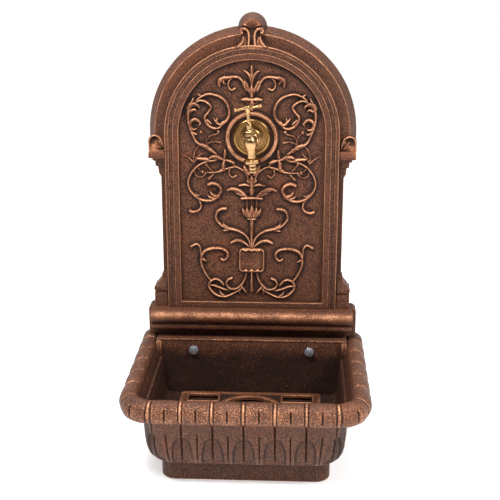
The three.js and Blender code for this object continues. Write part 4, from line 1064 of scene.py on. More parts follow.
# A darker copy of the brass, used for the rosette.
darker_brass = polished_metal("Darker brass", rgb(158, 122, 76), rgb(100, 70, 38), 0.26, 0.5)
zinc = polished_metal("Zinc plate", rgb(206, 212, 218), rgb(130, 134, 138), 0.3, 0.5, metallic=0.8)
print("metals made")

# %% [markdown]
# ## The rim
# The rim is a thick roll carried round the U, cut by a double groove at every pitch, with a short
# slit between. One section follows one path, so the tree sweeps it with Curve to Mesh, and then
# pushes the surface in by a formula of the way along.

# %% The rim's tree
rim_half, rim_forward, rim_corner = 194, 323, 46
rim_back = 4


def u_path(half, front, corner, back, steps=24):
    right = [[half, back], [half, front - corner]]
    bend = [[half - corner + corner * math.cos(a), front - corner + corner * math.sin(a)]
            for a in np.linspace(0, math.pi / 2, steps)]
    right += bend
    return np.array([[-x, forward] for x, forward in right] + [[x, forward] for x, forward in right[::-1]])


groove_off, groove_half = 3.2 * MM, 1.6 * MM
shoulder_from, shoulder_to, shoulder_fall = 3.5 * MM, 15 * MM, 1.4 * MM
slit_middle, slit_full, slit_end = 0.47, 0.06, 0.115
slit_least, slit_most = 0.4 * MM, 2.1 * MM


def rim_tree():
    """A section swept along a way, with two grooves at every pitch and a slit between."""
    tree = Tree("Gadrooned rim", {"Section": "Object", "Middle": "Float", "Pitch": "Float",
                                  "Groove": "Float", "Slit": "Float", "Material": "Material"})
    given = tree.inputs
    way = tree.node("GeometryNodeMeshToCurve", {"Mesh": given["Geometry"]}).outputs[0]
    way = tree.node("GeometryNodeResampleCurve", {"Curve": way, "Length": 1.15 * MM},
                    mode="LENGTH").outputs[0]
    along = tree.node("GeometryNodeSplineParameter").outputs["Length"]
    upright = tree.node("GeometryNodeSetCurveNormal", {"Curve": tree.keep(way, "along", along)},
                        mode="Z_UP").outputs[0]
    section = tree.node("GeometryNodeObjectInfo", {"Object": given["Section"]}).outputs["Geometry"]
    section = tree.node("GeometryNodeMeshToCurve", {"Mesh": section}).outputs[0]
    around = tree.node("GeometryNodeSplineParameter").outputs["Factor"]
    swept = tree.node("GeometryNodeCurveToMesh", {
        "Curve": upright, "Profile Curve": tree.keep(section, "around", around), "Fill Caps": True,
    }).outputs[0]
    s, v = tree.minus(tree.kept("along"), given["Middle"]), tree.kept("around")
    off = tree.off_multiple(s, given["Pitch"])
    double = tree.math("ABSOLUTE", tree.minus(off, groove_off))
    groove = tree.times(tree.fade(double, 0.0, groove_half), given["Groove"])
    shoulder = tree.times(tree.fade(off, shoulder_from, shoulder_to), shoulder_fall)
    between = tree.off_multiple(s, given["Pitch"], tree.times(given["Pitch"], 0.5))
    window = tree.fade(tree.math("ABSOLUTE", tree.minus(v, slit_middle)), slit_full, slit_end)
    width = tree.math("MULTIPLY_ADD", window, slit_most, slit_least)
    slit = tree.times(tree.times(tree.fade(between, 0.0, width), given["Slit"]), window)
    depth = tree.plus(tree.plus(groove, shoulder), slit)
    outer_side = tree.times(tree.fade(v, 0.62, 0.7), tree.step(v, 0.16, 0.2))
    # The grooves and slits are kept as cut, for painted shade in them, and the ridge beside each groove as
    # crest, for copper and a painted highlight.
    cut = tree.plus(tree.over(groove, given["Groove"]), tree.over(slit, given["Slit"]))
    crest = tree.fade(off, 0.5 * MM, 2.2 * MM)
    for label, share in (("cut", cut), ("crest", crest)):
        swept = tree.keep(swept, label, tree.times(share, outer_side))
    normal = tree.node("GeometryNodeInputNormal").outputs[0]
    inward = tree.times(tree.times(depth, outer_side), -1.0)
    tree.finish(tree.pushed(swept, normal, inward), given["Material"])
    return tree


rim_round = curve_through([
    [-15.6, -9], [-13.2, -4], [-8.5, -1], [-2, 0], [4.5, -1.6], [10.5, -6], [14.6, -12.5], [16, -20],
    [15, -27.6], [11.6, -34], [6, -38],
], 2.0)
rim_section = [[-15.5, -25], [-15.5, -12], *rim_round.tolist(), [-8, -38], [-24, -38], [-24, -37]]
path_points = u_path(rim_half, rim_forward, rim_corner, rim_back)
path_points = np.column_stack([path_points, np.full(len(path_points), rim_top)])
rim = line_object("basin_rim", to_frame(path_points))
section_object = line_object("rim_section", [[x * MM, -z * MM, 0] for x, z in rim_section], closed=True)
rim_length = np.linalg.norm(np.diff(to_frame(path_points), axis=0), axis=1).sum()
grow(rim, rim_tree(), {
    "Section": section_object, "Middle": float(rim_length / 2), "Pitch": pitch * MM,
    "Groove": 2.1 * MM, "Slit": 2.8 * MM, "Material": basin_paint,
})
bpy.data.objects.remove(section_object)
tidy_faces(rim, 50)
rim_points = np.array([vertex.co for vertex in rim.data.vertices]) / MM
print("rim:", len(rim.data.polygons), "faces, box", rim_points.min(0).round(1), rim_points.max(0).round(1))

# %% [markdown]
# ## Waterleaf
# Under the rim the wall carries a row of waterleaf: a sunk arch with a slit for its midrib, and a
# shorter slit between each two. The wall is a plain skin that knows the way along, the height and
# the direction outward at each point, and the tree sinks the pattern into it.

# %% The waterleaf tree
rib_deep, rib_least, rib_most = 3.6 * MM, 0.2 * MM, 2.0 * MM
slit_deep, slit_narrow, slit_wide = 3.0 * MM, 0.2 * MM, 1.7 * MM
lip_middle, lip_half, lip_rise = 1.5 * MM, 1.5 * MM, 0.5 * MM


def leaf_tree():
    """Sinks a row of arches into a wall, with a rib in each and a slit between each two."""
    tree = Tree("Waterleaf", {"Pitch": "Float", "Leaf foot": "Float", "Leaf tip": "Float",
                              "Leaf half": "Float", "Sunk": "Float", "Material": "Material"})
    given = tree.inputs
    s, z = tree.kept("along"), tree.kept("level")
    off = tree.off_multiple(s, given["Pitch"])
    between = tree.off_multiple(s, given["Pitch"], tree.times(given["Pitch"], 0.5))
    share = tree.over(tree.minus(z, given["Leaf foot"]), tree.minus(given["Leaf tip"], given["Leaf foot"]))
    share = tree.math("MINIMUM", tree.math("MAXIMUM", share, 0.0), 1.0)
    arch = tree.math("SQRT", tree.minus(1.0, tree.math("POWER", share, 3.0)))
    past = tree.minus(off, tree.times(arch, given["Leaf half"]))
    above_foot = tree.step(z, 44.5 * MM, 47.5 * MM)
    below_tip = tree.fade(z, given["Leaf tip"], tree.plus(given["Leaf tip"], 2.5 * MM))
    sunk = tree.times(tree.times(tree.fade(past, -1.3 * MM, 0.4 * MM), given["Sunk"]), below_tip)
    lip = tree.fade(tree.math("ABSOLUTE", tree.minus(past, lip_middle)), 0.0, lip_half, lip_rise, 0.0)
    lip = tree.times(lip, below_tip)
    rib = tree.times(tree.fade(off, rib_least, rib_most), rib_deep)
    rib = tree.times(rib, tree.fade(z, 121 * MM, 127 * MM))
    slit_window = tree.fade(z, 100 * MM, 113 * MM)
    slit_half = tree.math("MULTIPLY_ADD", slit_window, slit_wide, slit_narrow)
    slit = tree.times(tree.times(tree.fade(between, 0.0, slit_half), slit_deep), slit_window)
    deep = tree.plus(tree.plus(sunk, rib), tree.minus(slit, lip))
    # Rib and slit lines, a line round each arch and the sunk pockets are kept, to be painted later as shade.
    lines = tree.math("MAXIMUM", tree.over(rib, rib_deep), tree.over(slit, slit_deep))
    edge = tree.fade(tree.math("ABSOLUTE", tree.plus(past, 0.9 * MM)), 0.7 * MM, 2.6 * MM, 0.95, 0.0)
    lines = tree.times(tree.math("MAXIMUM", lines, tree.times(edge, below_tip)), above_foot)
    marked = tree.keep(given["Geometry"], "cut", lines)
    marked = tree.keep(marked, "pocket", tree.over(sunk, given["Sunk"]))
    inward = tree.times(tree.times(deep, above_foot), -1.0)
    tree.finish(tree.pushed(marked, tree.kept("outward", "FLOAT_VECTOR"), inward), given["Material"])
    return tree


def keep_values(mesh, name, values, kind="FLOAT"):
    field_name = "vector" if kind == "FLOAT_VECTOR" else "value"
    layer = mesh.attributes.new(name, kind, "POINT")
    layer.data.foreach_set(field_name, np.asarray(values, np.float32).ravel())


def basin_body(name):
    """The wall as a fine grid that keeps along, level and outward for the tree."""
    step = 1.3
    ways = np.linspace(-half_way, half_way, round(2 * half_way / step))
    outer = np.concatenate([[foot_height - 0.5, 36, 38, 40.5, 42.5], np.arange(44, 132, 1.5)])
    inner = np.array([132, 110, 90, 70, 60, 50.0, foot_height])
    heights = np.concatenate([outer, inner])
    out = np.concatenate([np.zeros(len(outer)), np.full(len(inner), -basin_wall)])
    grid_way, grid_height = np.meshgrid(ways, heights, indexing="ij")
    here = plan(grid_height)
    across, forward = along_plan(grid_way, here, reference_plan, out)
    further, ahead = along_plan(grid_way, here, reference_plan, out + 1)
    straight_side = np.abs(grid_way) > reference_plan["half"] - reference_plan["corner"]
    outward = np.stack([further - across, -(ahead - forward), 0 * across], axis=-1)
    outward[..., 1] = np.where(straight_side, outward[..., 1], -1)
    mesh_part = skin(np.stack([across, forward, grid_height], axis=-1))
    mesh = bpy.data.meshes.new(name)
    mesh.from_pydata(to_frame(mesh_part[0]).tolist(), [], mesh_part[1])
    carved = np.broadcast_to(np.concatenate([np.ones(len(outer)), np.zeros(len(inner))]), grid_way.shape)
    keep_values(mesh, "along", grid_way * MM)
    keep_values(mesh, "level", grid_height * MM)
    keep_values(mesh, "outward", outward * carved[..., None], "FLOAT_VECTOR")
    return placed(name, mesh)


body = basin_body("basin_body")
grow(body, leaf_tree(), {
    "Pitch": pitch * MM, "Leaf foot": 47 * MM, "Leaf tip": 101 * MM, "Leaf half": 18.4 * MM,
    "Sunk": 2.4 * MM, "Material": basin_paint,
})
tidy_faces(body, 50)
print("body:", len(body.data.polygons), "faces")

# %% [markdown]
# ## Inside the basin, ledge and foot
# The plate stands on a ledge at the back. In front of it an inner wall goes down to the floor,
# and under the floor the casting is open, so that a waste pipe finds its way. These are plain
# forms with rounded edges, and they join the wall and the rim as one piece.

# %% The rest of the basin
def box_part(low, high, radius=1.2):
    """A block with rounded edges, given by two corners as (across, forward, up)."""
    outline = eased([[low[0], low[1]], [high[0], low[1]], [high[0], high[1]], [low[0], high[1]]], radius, 2)
    middle = np.array([(low[0] + high[0]) / 2, (low[1] + high[1]) / 2])
    span = np.array([high[0] - low[0], high[1] - low[1]]) / 2
    rings = []
    for inset, up in ((radius, low[2]), (radius * 0.3, low[2] + radius * 0.3), (0, low[2] + radius),
                      (0, high[2] - radius), (radius * 0.3, high[2] - radius * 0.3), (radius, high[2])):
        flat = middle + (outline - middle) * (1 - inset / span)
        rings.append(np.column_stack([flat, np.full(len(flat), up)]))
    return skin(rings)


def foot_part():
    """The plain foot, a wall round its own U."""
    reference = foot_plan
    half = reference["half"] - reference["corner"] + math.pi / 2 * reference["corner"] \
        + reference["front"] - reference["corner"]
    ways = np.unique(np.concatenate([np.linspace(-half, half, 120), [-half + 3, half - 3]]))
    section = eased([[0, 0.4], [0, 41], [-6, 41], [-6, 0.4]], 1.4, 2.5)
    rings = []
    for way in ways:
        across, forward = along_plan(way, reference, reference, section[:, 0])
        rings.append(np.column_stack([across, forward, section[:, 1]]))
    return skin(rings)


def lining_part():
    """The basin's inside: a smooth cup from the floor up to the lip of the rim."""
    mouth = {"half": 178, "front": 308, "corner": 31}
    levels = [(floor_top, 12), (floor_top + 1.2, 9), (floor_top + 4, 6.8), (floor_top + 8, 6.2), (78, 6.1),
              (100, 6.1), (126, 6.1)]
    ways = np.linspace(-half_way + back_wall + 4, half_way - back_wall - 4, 150)
    rings = []
    for way in ways:
        ring = []
        for up, inset in levels:
            across, forward = along_plan(way, plan(up), reference_plan, -inset)
            ring.append([across, max(forward, back_wall), up])
        for up in (140, 156):
            across, forward = along_plan(way, mouth, reference_plan)
            ring.append([across, max(forward, back_wall), up])
        outer_across, outer_forward = along_plan(way, mouth, reference_plan, 4)
        ring += [[outer_across, outer_forward, 156]]
        for up in (126, floor_top - 3):
            across, forward = along_plan(way, plan(up), reference_plan, -3)
            ring.append([across, forward, up])
        rings.append(ring)
    return skin(rings)


def floor_part():
    """The basin's floor, a slab with rounded edges."""
    edge = {key: float(value) for key, value in plan(floor_top).items()}
    ways = np.linspace(-half_way + back_wall, half_way - back_wall, 90)
    levels = ((floor_top - 6, 8), (floor_top - 5.6, 4), (floor_top - 0.2, 4), (floor_top, 8))
    return skin([[[*map(float, along_plan(way, edge, reference_plan, -inset)), up] for way in ways]
                 for up, inset in levels])


def back_part():
    """The ledge that carries the plate, the wall under it and the arms' ends."""
    half = 178
    ledge = box_part([-half, 0.4, rim_top - 6], [half, back_wall + basin_wall, rim_top - 0.2], 1.5)
    rings = []
    for up in (34.5, 40, 48, 58, 70, 84, 100, 127, 140, rim_top - 3):
        inner_half = float(plan(min(up, 127))["half"]) - 3
        rings.append([[x, forward, up] for x, forward in eased(
            [[-inner_half, back_wall], [inner_half, back_wall], [inner_half, back_wall + basin_wall],
             [-inner_half, back_wall + basin_wall]], 1, 2)])
    inner_back = skin(rings)
    cheek = box_part([168, 0.4, 127], [178, 60, rim_top - 3], 1.2)
    return [ledge, inner_back, *both(cheek)]


basin_rest = new_piece("basin_inside", [foot_part(), lining_part(), floor_part(), *back_part()])
print("inside and foot:", len(basin_rest.data.polygons), "faces")


# %% [markdown]
# The wall, the rim and the inside were made apart, because each has its own way of repeating. On
# the real basin they are one casting, so they are joined here and share one paint.

# %% One basin
def join(name, pieces, paint):
    """Joins pieces of one casting into a single mesh object."""
    for piece in pieces:
        piece.data.materials.clear()
        piece.data.materials.append(paint)
    with bpy.context.temp_override(active_object=pieces[0], selected_editable_objects=pieces):
        bpy.ops.object.join()
    pieces[0].name = pieces[0].data.name = name
    return pieces[0]


basin = join("basin_casting", [body, rim, basin_rest], basin_paint)
print("basin:", len(basin.data.polygons), "faces")

# %% [markdown]
# ## The grate
# The grate is a flat casting: a plate with slots and a round opening, a raised ring round the
# opening and raised edges round the slots. A flat curve with holes in it, given a thickness and a
# bevel, makes such a plate at once.

# %% The grate
def curve_plate(name, outlines, low, high, bevel=0.6):
    """A level plate from outlines in (across, forward): the first is the edge, the rest are holes."""
    data = bpy.data.curves.new(name, "CURVE")
    data.dimensions = "2D"
    data.fill_mode = "BOTH"
    for outline in outlines:
        spline = data.splines.new("POLY")
        spline.points.add(len(outline) - 1)
        for point, (across, forward) in zip(spline.points, outline):
            point.co = (across * MM, (WALL - forward) * MM, 0, 1)
        spline.use_cyclic_u = True
    data.extrude = (high - low) / 2 * MM - bevel * MM
    data.bevel_depth = bevel * MM
    data.bevel_resolution = 2
    data.offset = -bevel * MM
    flat = placed(name, data)
    evaluated = flat.evaluated_get(bpy.context.evaluated_depsgraph_get())
    mesh = bpy.data.meshes.new_from_object(evaluated)
    bpy.data.objects.remove(flat)
    mesh.transform(Matrix.Translation((0, 0, (low + high) / 2 * MM)))
    piece = placed(name, mesh)
    tidy_faces(piece, 40)
    return piece


def rounded_rectangle(low, high, corner):
    points = []
    for sx, sy, start in ((1, 1, 0), (-1, 1, 90), (-1, -1, 180), (1, -1, 270)):
        x = (high[0] if sx > 0 else low[0]) - sx * corner
        y = (high[1] if sy > 0 else low[1]) - sy * corner
        points += arc(x, y, corner, corner, start, start + 90, 5)
    return points


grate_half, grate_back, grate_front, grate_top = 130, 66, 224, 64
grate_middle = (grate_back + grate_front) / 2
ring_in, ring_out = 55, 63


def grate_pieces():
    """The grate as its parts: the plate, the raised edges, the ring and four pads."""
    circle = arc(0, grate_middle, ring_in, ring_in, 0, 360, 72)[:-1]
    slots, edges = [], []
    slot_deep, rows = 26, 3
    row_pitch = (grate_front - grate_back - 28 - slot_deep) / (rows - 1)
    for row in range(rows):
        start = grate_back + 14 + row * row_pitch
        clear = 12 if row == 1 else 0
        for side in (-1, 1):
            ends = sorted([side * (60 + clear), side * 115])
            slots.append(rounded_rectangle([ends[0], start], [ends[1], start + slot_deep], 2.5))
            edges.append(rounded_rectangle([ends[0] - 3.2, start - 3.2],
                                           [ends[1] + 3.2, start + slot_deep + 3.2], 4))
    outline = rounded_rectangle([-grate_half, grate_back], [grate_half, grate_front], 7)
    flat = curve_plate("grate_sheet", [outline, circle, *slots], 60, grate_top)
    raised = [curve_plate("grate_edge", [edge, slot], grate_top - 2, grate_top + 1.5, 0.7)
              for edge, slot in zip(edges, slots)]
    outer = arc(0, grate_middle, ring_out, ring_out, 0, 360, 72)[:-1]
    ring = curve_plate("grate_ring", [outer, circle], 60.5, grate_top + 2.5, 1.1)
    pads = [new_piece("grate_pad", [moved(turned([[0, 56.4], [6, 56.4], [7, 57.4], [7, 61], [0, 61]], 24),
                                          side * 122, forward, 0)])
            for side in (-1, 1) for forward in (92, 198)]
    return [flat, *raised, ring, *pads]


grate = join("grate_casting", grate_pieces(), grate_finish)
print("grate:", len(grate.data.polygons), "faces")

# %% [markdown]
# ## Wear and painted shade from the form
# A rubbed finish shows most on edges and ridges. For every point of a mesh, the neighbours say
# whether it stands out or lies in: if they fall away behind the point's own plane it is high, and
# if they rise in front of it, it is deep, and deep is painted as shade. The values are spread over
# the nearest neighbours.

# %% High and deep
WEAR_REACH, HIGH_GAIN, DEEP_GAIN, BACK_SHADE = 1.6, 1.05, 2.0, 0.35


def read_all(items, name, width=1, kind=float):
    """One property of every item, as an array."""
    values = np.empty(len(items) * width, kind)
    items.foreach_get(name, values)
    return values.reshape(-1, width) if width > 1 else values


def read_values(mesh, name):
    return read_all(mesh.attributes[name].data, "value")


def shade_ray_share(place, normal, mesh, reach):
    """The share of short rays off each point that meet the casting again, high in a hollow; it is used for
    painted shade.
    """
    tree = BVHTree.FromPolygons(place.tolist(), [list(face.vertices) for face in mesh.polygons])
    side = np.cross(normal, [0.31, 0.62, 0.72])
    side /= np.linalg.norm(side, axis=1)[:, None] + 1e-9
    other = np.cross(normal, side)
    start = place + normal * 0.25
    met = np.zeros(len(place))
    turns = np.linspace(0, 2 * math.pi, 7)[:-1]
    for turn in turns:
        ray = normal * 0.62 + (side * math.cos(turn) + other * math.sin(turn)) * 0.78
        met += [tree.ray_cast(Vector(a), Vector(b), reach)[3] is not None for a, b in zip(start, ray)]
    return met / len(turns)


def mark_wear_and_shade(piece, gain=1.0, lift=None, cuts=(), shade=None, shade_reach=0, warm=None):
    """Keeps high (rub and painted highlight), deep (painted shade) and warm on a mesh, from its form and from
    where each point lies.
    """
    mesh = piece.data
    count = len(mesh.vertices)
    place = read_all(mesh.vertices, "co", 3) / MM
    normal = read_all(mesh.vertices, "normal", 3)
    one, other = read_all(mesh.edges, "vertices", 2, int).T
    step = place[other] - place[one]
    length = np.linalg.norm(step, axis=1) + 1e-9
    weight = np.exp(-length / WEAR_REACH) + 1e-4
    curve = np.clip(2 * np.stack([-(step * normal[one]).sum(1), (step * normal[other]).sum(1)])
                    / np.maximum(length, 0.35) ** 2, -1.5, 1.5)
    weights = np.bincount(one, weight, count) + np.bincount(other, weight, count)
    bend = (np.bincount(one, weight * curve[0], count)
            + np.bincount(other, weight * curve[1], count)) / weights
    near = np.bincount(one, weight * bend[other], count) + np.bincount(other, weight * bend[one], count)
    bend = (bend + 0.5 * near) / (1 + 0.5 * weights)
    high = np.clip(bend * gain * HIGH_GAIN, 0, 1)
    # Spots that lie in are deep, and deep is painted as shade.
    deep = np.clip(-bend * gain * DEEP_GAIN, 0, 1)
    if lift is not None:
        high = np.clip(high + lift(place, normal), 0, 1)
    # The rim's crest lines take copper, more where they face up: partly rub, partly a painted highlight.
    if "crest" in mesh.attributes:
        high = np.clip(high + (0.2 + 0.28 * normal[:, 2]) * read_values(mesh, "crest"), 0, 1)
    # Cut lines and sunk pockets get painted shade, and lose their copper.
    for name, share in cuts:
        cut = np.clip(read_values(mesh, name) * share, 0, 1)
        deep = np.maximum(deep, cut)
        high = high * (1 - np.clip(cut * 1.6, 0, 1))
    # Painted shade from where a point lies.
    if shade is not None:
        dark = shade(place)
        deep = np.maximum(deep, dark)
        high = high * (1 - 0.7 * dark)
    # Painted shade where short rays off a point meet the casting again.
    if shade_reach:
        hidden = shade_ray_share(place, normal, mesh, shade_reach)
        deep = np.maximum(deep, np.clip(hidden * 1.5 - 0.35, 0, 0.9))
        high = high * (1 - np.clip(hidden * 1.4 - 0.4, 0, 0.9))
    to_the_wall = (normal[:, 1] > 0.5) & (WALL - place[:, 1] < 26)
    high[to_the_wall], deep[to_the_wall] = 0, BACK_SHADE
    keep_values(mesh, "high", high)
    keep_values(mesh, "deep", deep)
    if warm is not None:
        keep_values(mesh, "warm", warm(place))
    return float(high.mean())


def ornament_rub_and_highlight(place, normal):
    height = WALL - place[:, 1] - panel_front
    # Painted highlight: strand faces turned up and forward take more copper, as light from above would
    # brighten them.
    lit = np.clip(0.7 * (normal[:, 2] - normal[:, 1]), 0, 1) ** 2
    return np.clip((height - 1.4) / 3.4, 0, 1) * (0.22 + 0.5 * lit)


def plate_rub_and_highlight(place, normal):
    depth, up = WALL - place[:, 1], place[:, 2]
    # Painted highlight along the roll's upper face; the crown, the scrolls and the ring take rubbed copper.
    roll = np.clip((depth - 52) / 8, 0, 1) * np.clip(normal[:, 2] + 0.5, 0, 1) * 0.55
    crown = np.clip((depth - 38) / 4, 0, 1) * (up > 699) * 0.5
    scrolls = np.clip((depth - 29) / 4, 0, 1) * (np.abs(place[:, 0]) > 157) * (up > 517) * (up < 552) * 0.4
    ring = (np.hypot(place[:, 0], up - boss_height) < 50) * np.clip((depth - 35) / 5, 0, 1) * 0.34
    return roll + crown + scrolls + ring - (normal[:, 1] > 0.5)


def shade_among_strands(place):
    """Painted shade: how much darker a spot of the panel is drawn where what stands round it rises above it.
    """
    column = np.clip(np.round((place[:, 0] - field_x[0]) / FIELD_STEP).astype(int), 0, len(field_x) - 1)
    row = np.clip(np.round((place[:, 2] - field_z[0]) / FIELD_STEP).astype(int), 0, len(field_z) - 1)
    height = WALL - place[:, 1] - panel_front
    within = (np.hypot(place[:, 0], np.maximum(place[:, 2] - springing, 0)) < 131) & (place[:, 2] > 234)
    return np.clip((height_around_for_shade[row, column] - np.maximum(height, 0) * 1.2) / 1.5, 0, 0.9) * (
        within & (height > -1.5) & (height < 8))


def plate_warm(place):
    """Where the rub left orange: the keystone's cap, the abaci and the arch's upper left."""
    across, depth, up = place[:, 0], WALL - place[:, 1], place[:, 2]
    cap = (up > 734) * (depth > 36) * (np.abs(across) < 19)
    abacus = (up > 504) * (up < 521) * (np.abs(across) > 166) * (depth > 33) * 0.9
    radius = np.hypot(across, up - springing)
    arch_face = (radius > 155) * (depth > 26) * (depth < 30) * (up > 620)
    upper_left = arch_face * np.clip((-across + 60) / 60, 0, 1) * 0.95
    return np.maximum(np.maximum(cap, abacus), upper_left)


def basin_lift(place, normal):
    rim_face = np.clip((place[:, 2] - 126) / 6, 0, 1) * np.clip(-normal[:, 1] + 0.2, 0, 1)
    return rim_face * 0.33


def shade_inside_basin(place):
    """Painted shade over the inside of the basin."""
    across, forward, up = np.abs(place[:, 0]), WALL - place[:, 1], place[:, 2]
    here = plan(np.minimum(up, 126))
    return 0.72 * ((across < 178.5) & (forward > 40) & (forward < 307) & (up > 50) & (up < 157)
                   & (across < here["half"] - 2.5) & (forward < here["front"] - 2.5))


def basin_warm(place):
    return shade_inside_basin(place) * 0.45


# Every casting gets copper and painted highlight in high, and painted shade in deep.
shares = {
    "plate": mark_wear_and_shade(plate, 1.0, plate_rub_and_highlight, shade=shade_among_strands, shade_reach=9, warm=plate_warm),
    "ornament": mark_wear_and_shade(ornament, 0.8, ornament_rub_and_highlight, shade=shade_among_strands),
    "basin": mark_wear_and_shade(basin, 1.0, basin_lift, [("cut", 1.0), ("pocket", 0.3)], shade_inside_basin, 9, basin_warm),
    "grate": mark_wear_and_shade(grate, 0.7, shade_reach=5),
}
print("mean wear:", {name: round(share, 3) for name, share in shares.items()})

# %% [markdown]
# ## The tap
# The tap is turned and milled brass. Its parts lean a little to the left with the body, as on the
# real fountain, so each is made about the tap's own axes and then set into the plate.

# %% The tap's frame
tap_reach, tap_lean, handle_turn = 82, math.radians(5), math.radians(30)


def in_tap(part):
    """From the tap's own axes to the fountain's."""
    points = np.asarray(part[0], float)
    x = points[:, 0] * math.cos(tap_lean) - points[:, 2] * math.sin(tap_lean)
    z = points[:, 0] * math.sin(tap_lean) + points[:, 2] * math.cos(tap_lean) + boss_height
    return np.column_stack([x, points[:, 1], z]), part[1]


def hexed(profile, turn_deg=0):
    """A hexagon bar turned down to a profile, so that its corners are chamfered."""
    points, faces = turned(profile, 6)
    angle = math.radians(turn_deg)
    cos, sin = math.cos(angle), math.sin(angle)
    return points @ np.array([[cos, -sin, 0], [sin, cos, 0], [0, 0, 1]]).T, faces


rosette_back = panel_front + 0.4
shank, bore = 10.2, 4.6
print("tap stands", tap_reach, "mm in front of the wall")


# %% Rosette, body and bonnet
def rosette_part():
    """The disc behind the tap. Its steps are given as (in from the edge, out from the back)."""
    radius, hole, height = 33.5, shank + 0.9, 7
    steps = [
        [0.4, 0], [0, 0.6], [0, 1.8], [0.8, 2.8], [3, 4.2], [5, 4.6], [6.2, 4.2], [7, 3.3], [9, 3.3],
        [9.6, 4.4], [11, 4.4], [11.6, 3.5], [13.6, 3.9], [14.4, 5.3], [16, 5.6], [16.8, 4.9],
        [18.4, 6.2], [20, height],
    ]
    profile = [[hole, rosette_back], *([radius - inset, rosette_back + out] for inset, out in steps),
               [hole, rosette_back + height]]
    return moved(turned_ring(profile, 96, "forward"), 0, 0, boss_height)


def body_parts():
    """The tap's body: the inlet from the wall, the belly and the mouth below."""
    collar = rosette_back + 7.4
    inlet = turned([
        [0, 3.2], [6, 3.2], [7.8, 3.4], [shank, 5], [shank, collar], [12.4, collar], [13, collar + 0.8],
        [13, collar + 6.6], [12.2, collar + 7.8], [10.4, collar + 8.4], [9.2, collar + 9.6],
        [8.4, collar + 12.5], [8.2, collar + 18], [8.6, tap_reach - 10], [7.6, tap_reach - 6],
        [0, tap_reach - 4],
    ], 48, "forward")
    stem_profile = [
        [0, -27.6], [4.7, -27.6], [7, -27.6], [7.4, -27], [7.4, -20], [7.8, -16.5], [8.6, -12.5], [9.8, -8],
        [10.8, -4], [11.2, 0], [10.9, 3.6], [9.8, 6.6], [8.4, 8.6], [8.2, 10], [8, 10.6], [0, 10.6],
    ]
    stem_part = moved(turned(stem_profile, 48), 0, tap_reach, 0)
    mouth = moved(turned([[0, -27.9], [4.6, -27.9], [4.6, -24], [0, -24]], 32), 0, tap_reach, 0)
    return [inlet, stem_part, mouth]


def bonnet_parts():
    """The hexagon nut on top of the body, and the gland in it."""
    corner = 16.5 / math.sqrt(3)
    nut = hexed([[0, 11], [corner - 1.3, 11], [corner - 0.5, 11.5], [corner, 12.4], [corner, 18],
                 [corner - 0.5, 19.2], [corner - 1.4, 20], [0, 20]], 15)
    gland = turned([
        [0, 14], [6, 14], [6, 20.4], [5.7, 21.2], [5, 22.2], [4.8, 23.4], [4.9, 26], [5.2, 26.4],
        [5.2, 30.4], [4.9, 31], [4.6, 33.4], [4.2, 34.6], [3.9, 35], [0, 35],
    ], 40)
    return [moved(nut, 0, tap_reach, 0), moved(gland, 0, tap_reach, 0)]


# %% Handle, union and nozzle
def spindle_parts():
    """The turned T-bar, its hub and the spindle."""
    half, height = 26.5, 60
    arm = [[3.8, 3.6], [3.2, 5.6], [2.6, 8], [2.4, 12], [2.6, half - 8], [2.9, half - 5.4],
           [3.5, half - 3.4], [3.6, half - 1.8], [3.3, half - 0.6], [2.6, half], [0, half]]
    bar = turned([*([radius, -along] for radius, along in arm[::-1]), [3.9, 0], *arm], 32)
    points = bar[0][:, [2, 0, 1]]
    across = np.column_stack([points[:, 0] * math.cos(handle_turn),
                              -points[:, 0] * math.sin(handle_turn) + points[:, 1],
                              points[:, 2] + height])
    across[:, 0] += points[:, 1] * math.sin(handle_turn)
    hub = turned([[0, height - 8], [3.4, height - 8], [4.1, height - 6.4], [4.6, height - 3.6],
                  [4.8, height - 0.5], [4.6, height + 2.4], [3.8, height + 4], [2.2, height + 4.8],
                  [0, height + 5]], 40)
    rod = turned([[0, 17], [3.1, 17], [3.2, 24], [3.2, height - 10], [3.4, height - 7.6],
                  [0, height - 7]], 32)
    return [(np.column_stack([across[:, 0], across[:, 1] + tap_reach, across[:, 2]]), bar[1]),
            moved(hub, 0, tap_reach, 0), moved(rod, 0, tap_reach, 0)]


def union_part():
    """The wide nut under the belly."""
    outer = [[12.4, -37.5], [13.6, -36.8], [15, -35.4], [15, -31], [14.2, -29.9], [12, -28.9], [10, -28.4]]
    return moved(turned_ring([*outer, [bore, outer[-1][1]], [bore, outer[0][1]]], 8), 0, tap_reach, 0)


def nozzle_part():
    """The ribbed hose nozzle."""
    outer = [[6.2, -52.9], [7, -52.4], [7.4, -51.2], [7.4, -49.4], [6.8, -48.2], [6.7, -47], [7.2, -46],
             [7.4, -45], [7.4, -43.6], [6.9, -42.6], [7, -40], [7.3, -38.4], [7.3, -37.9]]
    return moved(turned_ring([*outer, [bore, outer[-1][1]], [bore, outer[0][1]]]), 0, tap_reach, 0)


def tap_piece(name, parts, node, body_name="fountain", sharp=32, bevel=0.0, metal=brass):
    piece = new_piece(name, parts, sharp)
    piece.data.materials.append(metal)
    if bevel:
        rounding = piece.modifiers.new("Edges", "BEVEL")
        rounding.width = bevel * MM
        rounding.segments = 2
        rounding.limit_method = "ANGLE"
    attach(piece, body_name)
    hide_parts(node)
    return piece


tap_piece("rosette", [rosette_part()], "tap_rosette", metal=darker_brass)
tap_piece("tap_cock", [in_tap(part) for part in body_parts()], "tap_body")
tap_piece("tap_cap", [in_tap(part) for part in bonnet_parts()], "tap_bonnet", sharp=25, bevel=0.3)
tap_piece("tap_key", [in_tap(part) for part in spindle_parts()], "tap_handle", "handle")
tap_piece("tap_union", [in_tap(union_part())], "tap_union_nut", sharp=25, bevel=0.4)
tap_piece("tap_spout", [in_tap(nozzle_part())], "tap_nozzle")
print("tap made of six pieces")

